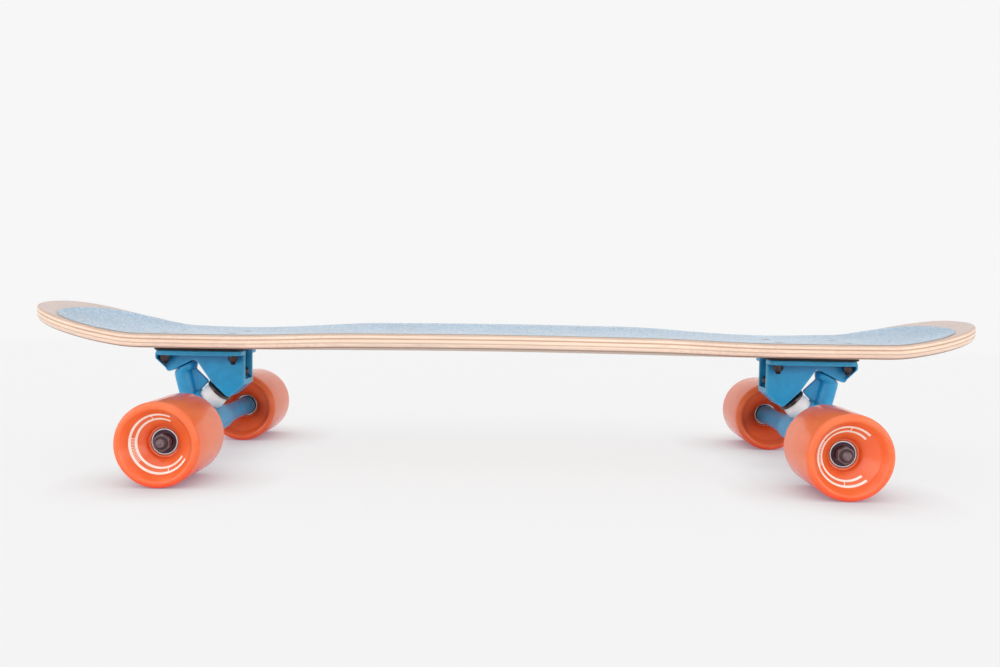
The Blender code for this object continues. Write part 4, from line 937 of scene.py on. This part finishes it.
def makeRiser():
    spec, over = truckSpec, truckSpec["riserOverhang"]
    bottom = spec["plateTop"] + fit
    pad = layer("riserPad", spec["plateLength"] + 2 * over, spec["plateWidth"] + over,
                spec["plateCorner"] + over, bottom, bottom + spec["riserThickness"], riserFinish)
    return faceOut(carved(pad, plateHoles(bottom - overrun, bottom + overrun)), nutCrease)


def makePivotCup():
    # The small corners of its mouth and of its floor are cut straight.
    inside, mouth, floor = truckSpec["pivotRadius"] + fit, 0.0003, 0.0006
    section = dome(inside, truckSpec["pivotLength"] - truckSpec["pivotRadius"])
    section += [(inside, fit + mouth), (inside + mouth, fit), (cupRadius - mouth, fit),
                (cupRadius, fit + mouth), (cupRadius, cupLength - floor),
                (cupRadius - floor, cupLength), (0, cupLength)]
    return placed(turned("pivotCup", section, cupFinish, 48), steerPlace)


def makeKingpin():
    # A hexagon head in the baseplate's pocket, the shank, and the threaded end below the nut.
    spec = truckSpec
    start, radius, tall = -spec["headDepth"] - fit, spec["pinDiameter"] / 2, spec["pinHeadHeight"]
    core, sunk = radius - spec["threadDepth"], tall * spec["headSunk"]
    threadStart = pinEnd - spec["threadLength"]
    head = hexNut("kingpin", spec["pinNutWidth"], tall, 2 * radius - 2 * fit, darkSteel)
    placed(head, Matrix.Translation((0, 0, start - tall)))
    section = softened([(0, start - sunk, 0), (radius, start - sunk, 0.0002), (radius, threadStart, 0),
                        (core, threadStart + spec["threadDepth"], 0), (core, pinEnd, 0.0006), (0, pinEnd, 0)],
                        4)
    shank = turned("shank", section, darkSteel, 48)
    ridge = threaded(core, spec["pinPitch"], threadStart + spec["threadLead"], pinEnd - spec["pinTip"],
                     darkSteel)
    return placed(joined("kingpin", [head, shank, ridge]), pinPlace)


def makePinStack():
    # What the kingpin clamps: the cupped washer, the two bushings with the ring between them, the lower
    # washer and the nut, each turned about the kingpin's line.
    spec = truckSpec
    bore, wall, lip = spec["pinDiameter"] / 2 + fit, spec["cupWall"], spec["cupHeight"]
    rim, flat = spec["cupDiameter"] / 2, spec["cupFlat"] / 2
    wide, crown, low = spec["boardsideDiameter"] / 2, spec["boardsideTop"] / 2, spec["roadsideDiameter"] / 2
    coneEnd, washer = roadsideStart + spec["roadsideLength"], spec["washerDiameter"] / 2
    washerEnd = washerStart + spec["washerThickness"]
    sections = {
        "boardsideWasher": (washerSteel, [
            (bore, fit, 0), (flat, fit, 0.0012), (rim, spec["cupShoulder"], 0.0008), (rim, lip, 0.0005),
            (rim - wall, lip, 0.0005), (rim - wall, cupFace + (rim - wall - flat) * cupFall, 0.0006),
            (flat, cupFace, 0.001), (bore, cupFace, 0)]),
        "boardsideBushing": (bushingFinish, [
            (bore, boardsideStart, 0.0005), (flat - fit, boardsideStart, 0.0012),
            (crown, boardsideStart + (crown - flat + fit) * cupFall, 0.0006), (crown, lip + fit, 0.003),
            (wide, (boardsideStart + ringTop) / 2, 0.006), (wide - fit, ringTop - fit, 0.0012),
            (bore, ringTop - fit, 0.0005)]),
        "roadsideBushing": (bushingFinish, [
            (bore, roadsideStart, 0.0005), (low, roadsideStart, 0.0008),
            (low, roadsideStart + spec["ringRim"], 0.001), (spec["roadsideEnd"] / 2, coneEnd, 0.0012),
            (bore, coneEnd, 0.0005)]),
        "roadsideWasher": (washerSteel, [
            (bore, washerStart, 0.0002), (washer, washerStart, 0.0006), (washer, washerEnd, 0.0003),
            (bore, washerEnd, 0.0002)]),
    }
    made = {name: turned(name, softened(corners, 6), material, 72)
            for name, (material, corners) in sections.items()}
    width, tall = spec["pinNutWidth"], spec["pinNutHeight"]
    nut = lockNut("kingpinNut", width, tall * spec["pinNutSteel"], 2 * bore, darkSteel, tall,
                  width * spec["nutCollarShare"], bore, 0.0008, 48)
    made["kingpinNut"] = placed(nut, Matrix.Translation((0, 0, pinNutStart)))
    return {name: placed(item, pinPlace) for name, item in made.items()}


def ovalLoop(centre, tilt, radius, halfDepth, count=40):
    # An oval across the neck: its radius lies in the XZ plane and its half depth along Y.
    turn = math.radians(tilt)
    across = Vector((-math.sin(turn), 0, -math.cos(turn)))
    return [centre + across * radius * math.cos(math.tau * at / count)
            + Vector((0, halfDepth * math.sin(math.tau * at / count), 0)) for at in range(count)]


def makeHanger():
    spec, chamfer = truckSpec, 2 * fit
    half, root = spec["hangerWidth"] / 2, spec["ringDiameter"] / 2
    flare, armEnd = half - spec["bearingOuter"] / 2, spec["armEndRadius"]
    arm = [(spec["armRootRadius"], 0.0), (spec["armRootRadius"] - fit, root),
           (spec["armShoulderRadius"], 2 * root), (spec["armRadius"], half / 2 + fit),
           (spec["armRadius"], flare), (armEnd, flare + spec["armEndFlare"]),
           (armEnd, half - chamfer), (armEnd - chamfer, half), (0, half)]
    arms = turned("hanger", [(radius, -along) for radius, along in arm[:0:-1]] + arm[1:], truckPaint, 56)
    top, bottom = ringTop - spec["ringRim"], ringBottom + spec["ringRim"]
    ring = turned("ring", [(0, top), (root - chamfer, top), (root, top + chamfer), (root, bottom - chamfer),
                           (root - chamfer, bottom), (0, bottom)], truckPaint, 72)

    # The collar turns under the housing's mouth, and the pivot nose turns in the cup.
    nose, gap = spec["pivotRadius"], spec["collarGap"]
    height, reach = spec["collarHeight"], spec["collarRadius"]
    pivot = turned("pivot", [(0, -gap - 2 * height), (spec["collarWaist"], -gap - 2 * height),
                             (reach, -gap - height), (reach, -gap - chamfer), (reach - chamfer, -gap),
                             (nose, -gap), *dome(nose, spec["pivotLength"] - nose)[::-1]], truckPaint, 56)

    # The neck leans from the housing's mouth down the outer side of the ring.
    width, tilt = spec["neckWidth"] / 2, spec["neckTilt"]
    upper = onSteer(-spec["neckBendDepth"]) - Vector((spec["neckLean"], 0, 0))
    foot = onPin(bottom, -root)
    neck = skinned("neck", [
        ovalLoop(onSteer(-gap - chamfer), spec["steerAngle"], spec["neckMouth"] / 2, width),
        ovalLoop(upper, tilt, width, width),
        ovalLoop(foot.lerp(upper, 0.5), tilt, width, width),
        ovalLoop(foot, tilt, width - chamfer, width),
        ovalLoop(foot - Vector((0, 0, spec["neckFootDrop"])), tilt, width / 2, width / 2)], truckPaint)

    # A thin web fills the angle between the neck and the ring, and ribs carry the arms from the ring's sides.
    clear, corner = spec["cupDiameter"] / 2 + fit, spec["webCorner"]
    webLine = [onPin(spec["webDepth"], -spec["webReach"]), onPin(spec["webDepth"], -clear - corner),
               onPin(spec["cupHeight"] + corner, -clear), onPin(top + spec["ringRim"], -clear),
               onPin(ringBottom, chamfer - root), foot]
    web = slab("web", [(point.x, point.z) for point in webLine], spec["webThickness"] / 2)
    edge, wide = spec["ribEdge"], spec["ribHalfWidth"]
    ribLine = [onPin(top + edge, edge), onPin(top + chamfer, root - chamfer),
               Vector((spec["ribFront"], 0, spec["ribRise"])), Vector((0, 0, -spec["ribRise"])),
               onPin(ringBottom, edge)]
    middle = sum(ribLine, Vector()) / len(ribLine)
    steps = ((-wide, 0.6), (edge - wide, 1.0), (wide - edge, 1.0), (wide, 0.6))
    rib = skinned("rib", [
        [(middle.x + (point.x - middle.x) * share, across, middle.z + (point.z - middle.z) * share)
         for point in ribLine] for across, share in steps], truckPaint)
    body = cast("hanger", [placed(arms, axlePlace), rib, placed(ring, pinPlace), neck,
                           placed(pivot, steerPlace), web], spec["hangerGrain"], spec["hangerSoftening"])

    # The bushing seats, the ring's bore and the axle's bore are machined.
    seat, lowSeat = spec["boardsideDiameter"] / 2 + fit, spec["roadsideDiameter"] / 2 + fit
    beyond = pinEnd + pinNutStart
    mouth = turned("lowSeat", [(0, ringBottom), (lowSeat, ringBottom),
                               (lowSeat + spec["steerRoom"], washerStart),
                               (lowSeat + spec["steerRoom"], beyond), (0, beyond)], truckPaint, 64)
    cutters = [drill(seat, 0.0, ringTop, pinPlace, 64), placed(mouth, pinPlace),
               drill(spec["ringBore"] / 2, spec["boreStart"], pinEnd, pinPlace, 64),
               drill(spec["axleDiameter"] / 2 + fit, -half - overrun, half + overrun, axlePlace)]
    return faceOut(carved(body, cutters), castCrease)


def makeAxle():
    spec, depth = truckSpec, truckSpec["threadDepth"]
    half, radius = nutStart + spec["axleNutHeight"] + spec["axleEnd"], spec["axleDiameter"] / 2
    core, threadAt = radius - depth, half - spec["threadLength"]
    end = [(radius, 0.0, 0), (radius, threadAt, 0), (core, threadAt + depth, 0), (core, half, 0.0008),
           (0, half, 0)]
    section = softened([(across, -along, edge) for across, along, edge in end[:0:-1]] + end[1:], 4)
    items = [turned("axle", section, axleSteel, 48)]
    for turn in (0, math.pi):
        ridge = threaded(core, spec["axlePitch"], threadAt + spec["threadLead"], half - spec["axleTip"],
                         axleSteel)
        items.append(placed(ridge, Matrix.Rotation(turn, 4, "X")))
    return placed(joined("axle", items), axlePlace)


def nodeName(truck, name):
    # The front truck's riserPad stands for front_riser_pad.
    return truck + "_" + "".join("_" + letter.lower() if letter.isupper() else letter for letter in name)


def makeTrucks():
    pieces = {"riserPad": makeRiser(), "baseplate": makeBaseplate(), "pivotCup": makePivotCup(),
              "kingpin": makeKingpin(), **makePinStack()}
    print("baseplate and kingpin made")
    pieces.update({"hanger": makeHanger(), "axle": makeAxle()})
    print("hanger and axle made")
    slots = {"riserPad": "riser", "baseplate": "truck_paint", "pivotCup": "black_plastic",
             "kingpin": "dark_steel", "boardsideWasher": "black_steel", "roadsideWasher": "black_steel",
             "kingpinNut": "dark_steel", "hanger": "truck_paint", "axle": "dark_steel",
             "boardsideBushing": "bushing", "roadsideBushing": "bushing"}
    squeezed = {"boardsideBushing": (onPin(boardsideStart), onPin(ringTop)),
                "roadsideBushing": (onPin(roadsideStart + truckSpec["roadsideLength"]), onPin(roadsideStart))}
    for truck, place in truckPlaces.items():
        for name, slot in slots.items():
            body = None if name in squeezed else f"{truck}_truck" if name in ("hanger", "axle") else "board"
            made = dress(twin(pieces[name], name, place), truck + name[0].upper() + name[1:], body, slot,
                         nodeName(truck, name))
            if name in squeezed:
                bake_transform(made)
    for item in pieces.values():
        bpy.data.objects.remove(item)


# Wheels. Each is turned about its own axle, with +Z outwards.

wheelSpec = {
    "radius": 0.035, "halfWidth": 0.030, "lip": 0.004, "faceRadius": 0.0296, "rimRadius": 0.0253,
    "rimHeight": 0.0235, "dishRadius": 0.0165, "dishHeight": 0.0165, "throatRadius": 0.0138,
    "throatHeight": 0.0140, "recessRadius": 0.0128, "seatRadius": 0.0113, "seatDepth": 0.0047,
    "coreRadius": 0.0093, "segments": 144,
}
bearingSpec = {"outer": 0.011, "width": 0.007, "outerWall": 0.0013, "shieldInner": 0.0066, "inner": 0.00605,
               "bore": 0.0043, "spacer": 0.010, "spacerRadius": 0.005, "washer": 0.001}
# Angles run from +X towards the top of the wheel, and the arcs stop short on one side, where it is plain.
printSpec = {
    "rings": ((0.0239, 67, 265), (0.0200, 65, 266)), "line": 0.0015, "thickness": 0.00008,
    "ticks": (106, 288), "tickWidth": 0.0009, "hatchStart": 169, "hatchStep": 3.2, "hatchCount": 17,
    "hatchWidth": 0.0008, "turns": {"front_left": 0.0, "rear_left": -22.0, "front_right": 40.0,
                                    "rear_right": 115.0},
}


def wheelFace():
    # Half of the wheel's section, from the middle of the tread over the lip and down the dish.
    spec = wheelSpec
    return [(spec["radius"], spec["halfWidth"], spec["lip"]), (spec["faceRadius"], spec["halfWidth"], 0.0026),
            (spec["rimRadius"], spec["rimHeight"], 0.003), (spec["dishRadius"], spec["dishHeight"], 0.0025),
            (spec["throatRadius"], spec["throatHeight"], 0.003),
            (spec["recessRadius"], bearingSpec["spacer"] / 2 + bearingSpec["width"] + 0.0004, 0),
            (spec["seatRadius"], bearingSpec["spacer"] / 2 + bearingSpec["width"], 0),
            (spec["seatRadius"], spec["seatDepth"], 0), (spec["coreRadius"], spec["seatDepth"], 0)]


def dishHeightAt(radius):
    # The face's height at a radius, on the straight cone between the rim and the dish.
    spec = wheelSpec
    share = (radius - spec["dishRadius"]) / (spec["rimRadius"] - spec["dishRadius"])
    return spec["dishHeight"] + (spec["rimHeight"] - spec["dishHeight"]) * share


def inkStrip(inner, outer, start, sweep, steps):
    # One strip of ink between two radii, lying on the dish.
    thick, low, high = printSpec["thickness"], dishHeightAt(inner), dishHeightAt(outer)
    section = [(inner, low - thick), (outer, high - thick), (outer, high + thick), (inner, low + thick)]
    return faceOut(grow(sectionCurve("ink", section), arcTree, {
        "Start Angle": math.radians(start), "Sweep Angle": math.radians(sweep), "Steps": steps,
        "Material": inkFinish}))


def makePrint():
    # Two broken rings, two ticks that cross them and a fine radial hatch between them.
    spec, half = printSpec, printSpec["line"] / 2
    strips = [inkStrip(radius - half, radius + half, start, sweep, 96)
              for radius, start, sweep in spec["rings"]]
    inner, outer = (ring[0] for ring in reversed(spec["rings"]))
    tick, hatch = [math.degrees(spec[width] / ((inner + outer) / 2)) for width in ("tickWidth", "hatchWidth")]
    strips += [inkStrip(inner, outer, angle - tick / 2, tick, 3) for angle in spec["ticks"]]
    strips += [inkStrip(inner + half, outer - half, spec["hatchStart"] + at * spec["hatchStep"], hatch, 2)
               for at in range(spec["hatchCount"])]
    return joined("print", strips)


def bothEnds(name, corners, material, segments):
    # The same small ring at both ends of the hub.
    return [placed(turned(name, softened(corners, 3), material, segments), Matrix.Rotation(turn, 4, "X"))
            for turn in (math.pi, 0)]


def makeBearing():
    # The outer race with its chamfers, and a grooved shield pressed into each side of it.
    spec = bearingSpec
    half, outer, shield = spec["width"] / 2, spec["outer"], spec["shieldInner"]
    inside, groove = outer - spec["outerWall"], 0.0006
    ring = [(outer, half, 0.0005), (inside, half, 0.0003), (inside, half - groove, 0),
            (inside, groove - half, 0), (inside, -half, 0.0003), (outer, -half, 0.0005)]
    race = turned("bearing", softened(ring), raceSteel, 72)
    face, back, hollow = 0.0031, 0.0020, 0.0028  # heights of the shield's two faces and of its groove
    corners = [(shield, back, 0), (inside - 0.00005, back, 0), (inside - 0.00005, face, 0.0002),
               (inside - 0.0007, face, 0.0002), (inside - 0.0009, hollow, 0.0001),
               (shield + groove, hollow, 0.0001), (shield + 0.0004, face, 0.0001), (shield, face, 0.0002)]
    return joined("bearing", [race] + bothEnds("shield", corners, shieldFinish, 72))


def makeSleeve():
    # Inner races, spacer and speed washers, clamped as one stack on the axle.
    spec, bore, inner = bearingSpec, bearingSpec["bore"], bearingSpec["inner"]
    gap, half = spec["spacer"] / 2, spec["spacer"] / 2 + spec["width"]
    start, end, reach = half + 0.00002, half + spec["washer"], inner - 0.0003
    races = bothEnds("innerRace", [(bore, gap, 0.0003), (inner, gap, 0.0003), (inner, half, 0.0004),
                                   (bore, half, 0.0003)], raceSteel, 56)
    washers = bothEnds("speedWasher", [(bore, start, 0.0001), (reach, start, 0.0002), (reach, end, 0.0002),
                                       (bore, end, 0.0001)], axleSteel, 56)
    tube = turned("spacer", [(bore, -gap), (spec["spacerRadius"], -gap), (spec["spacerRadius"], gap),
                             (bore, gap)], raceSteel, 40)
    return joined("sleeve", [races[0], washers[0], races[1], washers[1], tube])


def makeAxleNut():
    spec = truckSpec
    hole, width, tall = spec["axleDiameter"] + 2 * fit, spec["axleNutWidth"], spec["axleNutHeight"]
    return lockNut("axleNut", width, tall * spec["axleNutSteel"], hole, axleSteel, tall,
                   width * spec["nutCollarShare"], hole / 2, 0.0008, 48)


def makeWheels():
    face = wheelFace()
    section = softened(face + [(radius, -along, edge) for radius, along, edge in reversed(face)], 7)
    wheel = turned("wheel", section, wheelFinish, wheelSpec["segments"])
    print("wheel made:", len(wheel.data.polygons), "faces")
    ink, bearing, sleeve, nut = makePrint(), makeBearing(), makeSleeve(), makeAxleNut()
    offset = (bearingSpec["spacer"] + bearingSpec["width"]) / 2
    middle, inner, outer, end = [Matrix.Translation((0, 0, along)) for along in
                                 (0, -offset, offset, truckSpec["hubLength"] / 2 + fit)]
    for truck in ("front", "rear"):
        for side, sign in (("left", -1), ("right", 1)):
            label, hub, truckBody = f"{truck}_{side}", f"{truck}_{side}_wheel", f"{truck}_truck"
            outward = Vector((0, sign, 0))
            # The wheel's own X is laid along the world's, so that print angles read from the front.
            frameX = Vector((-sign, 0, 0))
            stand = Matrix((frameX, outward.cross(frameX), outward)).transposed().to_4x4()
            stand.translation = middleOf(f"{label}_bearing_sleeve")
            spin = Matrix.Rotation(math.radians(printSpec["turns"][label]), 4, "Z")
            for item, shift, name, body, slot, *nodes in (
                    (wheel, middle, "Wheel", hub, "urethane", hub),
                    (ink, spin, "Print", hub, "urethane"),
                    (bearing, inner, "InnerBearing", hub, "bearing_steel", f"{label}_inner_bearing"),
                    (bearing, outer, "OuterBearing", hub, "bearing_steel", f"{label}_outer_bearing"),
                    (sleeve, middle, "Sleeve", truckBody, "bearing_steel", f"{label}_bearing_sleeve"),
                    (nut, end, "AxleNut", truckBody, "dark_steel", f"{label}_axle_nut")):
                dress(twin(item, name, stand @ shift), truck + side.capitalize() + name, body, slot, *nodes)
    for item in (wheel, ink, bearing, sleeve, nut):
        bpy.data.objects.remove(item)
    print("wheels made")


# Floor, light and camera.

# The floor's darker tone close to the pieces, and its reach, make a painted shadow.
studioSpec = {
    "paper": "#F7F7F7", "floorSize": 60.0, "keepWithin": 0.7, "fadeOver": 1.6, "floorTone": "#FCFCFD",
    "floorGlow": 0.8, "paintedShadowTone": "#94707F", "paintedShadowReach": 0.065, "worldTone": "#F9F9FB", "fibre": 4.0,
    "horizonLight": 1.3, "zenithLight": 0.5, "zenithFrom": 0.75,
    "suns": (("keySun", 0.45, 60, 35, -25), ("frontSun", 0.22, 50, 80, 12), ("leftSun", 0.64, 50, 78, -58),
             ("rightSun", 0.64, 50, 78, 58)),
}
cameraSpec = {"location": (0.0107, -0.7771, 0.1666), "yaw": -0.0168, "pitch": 0.0585, "roll": 0.0154,
              "lens": 824.9 / 1000 * 36, "sensor": 36}


def seenRays(tree):
    # 1 where the eye, a mirror or a clear piece looks, and 0 for the light that falls on the board.
    ray = addNode(tree, "ShaderNodeLightPath").outputs
    seen = maths(tree, "MAXIMUM", ray["Is Camera Ray"], ray["Is Glossy Ray"])
    return maths(tree, "MAXIMUM", seen, ray["Is Transmission Ray"])


def clearTree(owner):
    owner.use_nodes = True
    owner.node_tree.nodes.clear()
    return owner.node_tree


def makeStudio():
    # A white paper floor that glows evenly for the eye and in mirrors, with a painted shadow close to the
    # pieces, and whose far part fades to the background's own colour, so no horizon shows. The dome is
    # brightest low down, as between soft boxes that stand all round.
    spec = studioSpec
    material = bpy.data.materials.new("paperSweep")
    tree = clearTree(material)
    place = objectPlace(tree)
    away = addNode(tree, "ShaderNodeVectorMath", {0: place}, operation="LENGTH").outputs["Value"]
    far = addNode(tree, "ShaderNodeMapRange", {0: away, 1: spec["keepWithin"],
                                               2: spec["keepWithin"] + spec["fadeOver"]},
                  interpolation_type="SMOOTHSTEP")
    paper = addNode(tree, "ShaderNodeBsdfPrincipled", {
        "Base Color": linear(spec["floorTone"]), "Specular IOR Level": 0.2,
        "Roughness": spread(tree, noise(tree, place, spec["fibre"]), first=0.75, last=0.85)})
    # Painted shadow: the floor's glow turns to a darker pinkish tone close to the pieces, from occlusion.
    paintedShadow = addNode(tree, "ShaderNodeAmbientOcclusion", {"Distance": spec["paintedShadowReach"]}, samples=8)
    tone = mixed(tree, paintedShadow.outputs["AO"], spec["paintedShadowTone"], spec["paper"])
    glow = addNode(tree, "ShaderNodeEmission", {"Color": tone, "Strength": 1.0})
    share = maths(tree, "MAXIMUM", far, maths(tree, "MULTIPLY", seenRays(tree), spec["floorGlow"]))
    both = addNode(tree, "ShaderNodeMixShader", {0: share, 1: paper, 2: glow})
    addNode(tree, "ShaderNodeOutputMaterial", {"Surface": both})
    half = spec["floorSize"] / 2
    corners = [(-half, -half, 0), (half, -half, 0), (half, half, 0), (-half, half, 0)]
    floor = newObject("studioFloor", corners, [(0, 1, 2, 3)], material)

    scene.world = bpy.data.worlds.new("studioWorld")
    tree = clearTree(scene.world)
    backdrop = addNode(tree, "ShaderNodeBackground", {"Color": linear(spec["paper"]), "Strength": 1.0})
    ahead = addNode(tree, "ShaderNodeSeparateXYZ",
                    {0: addNode(tree, "ShaderNodeTexCoord").outputs["Generated"]})
    level = spread(tree, ahead.outputs["Z"], 0.0, spec["zenithFrom"], spec["horizonLight"],
                   spec["zenithLight"])
    dome = addNode(tree, "ShaderNodeBackground", {"Color": linear(spec["worldTone"]), "Strength": level})
    shown = addNode(tree, "ShaderNodeMixShader", {0: seenRays(tree), 1: dome, 2: backdrop})
    addNode(tree, "ShaderNodeOutputWorld", {"Surface": shown})

    for name, strength, width, tilt, turn in spec["suns"]:
        data = bpy.data.lights.new(name, "SUN")
        data.energy = strength
        data.angle = math.radians(width)
        linked(name, data).rotation_euler = (math.radians(tilt), 0, math.radians(turn))


def makeCamera():
    spec = cameraSpec
    yaw, pitch, roll = spec["yaw"], spec["pitch"], spec["roll"]
    ahead = Vector((math.sin(yaw) * math.cos(pitch), math.cos(yaw) * math.cos(pitch), -math.sin(pitch)))
    level = Vector((math.cos(yaw), -math.sin(yaw), 0))
    rise = level.cross(ahead)
    right = math.cos(roll) * level + math.sin(roll) * rise
    above = -math.sin(roll) * level + math.cos(roll) * rise
    data = bpy.data.cameras.new("photoCamera")
    data.lens, data.sensor_width = spec["lens"], spec["sensor"]
    data.clip_start, data.clip_end = 0.02, 100
    matrix = Matrix((right, above, -ahead)).transposed().to_4x4()
    matrix.translation = spec["location"]
    scene.camera = linked("photoCamera", data)
    scene.camera.matrix_world = matrix


scene.view_settings.view_transform = "Standard"
makeDeck()
makeDeckHardware()
makeTrucks()
makeWheels()
makeStudio()
makeCamera()
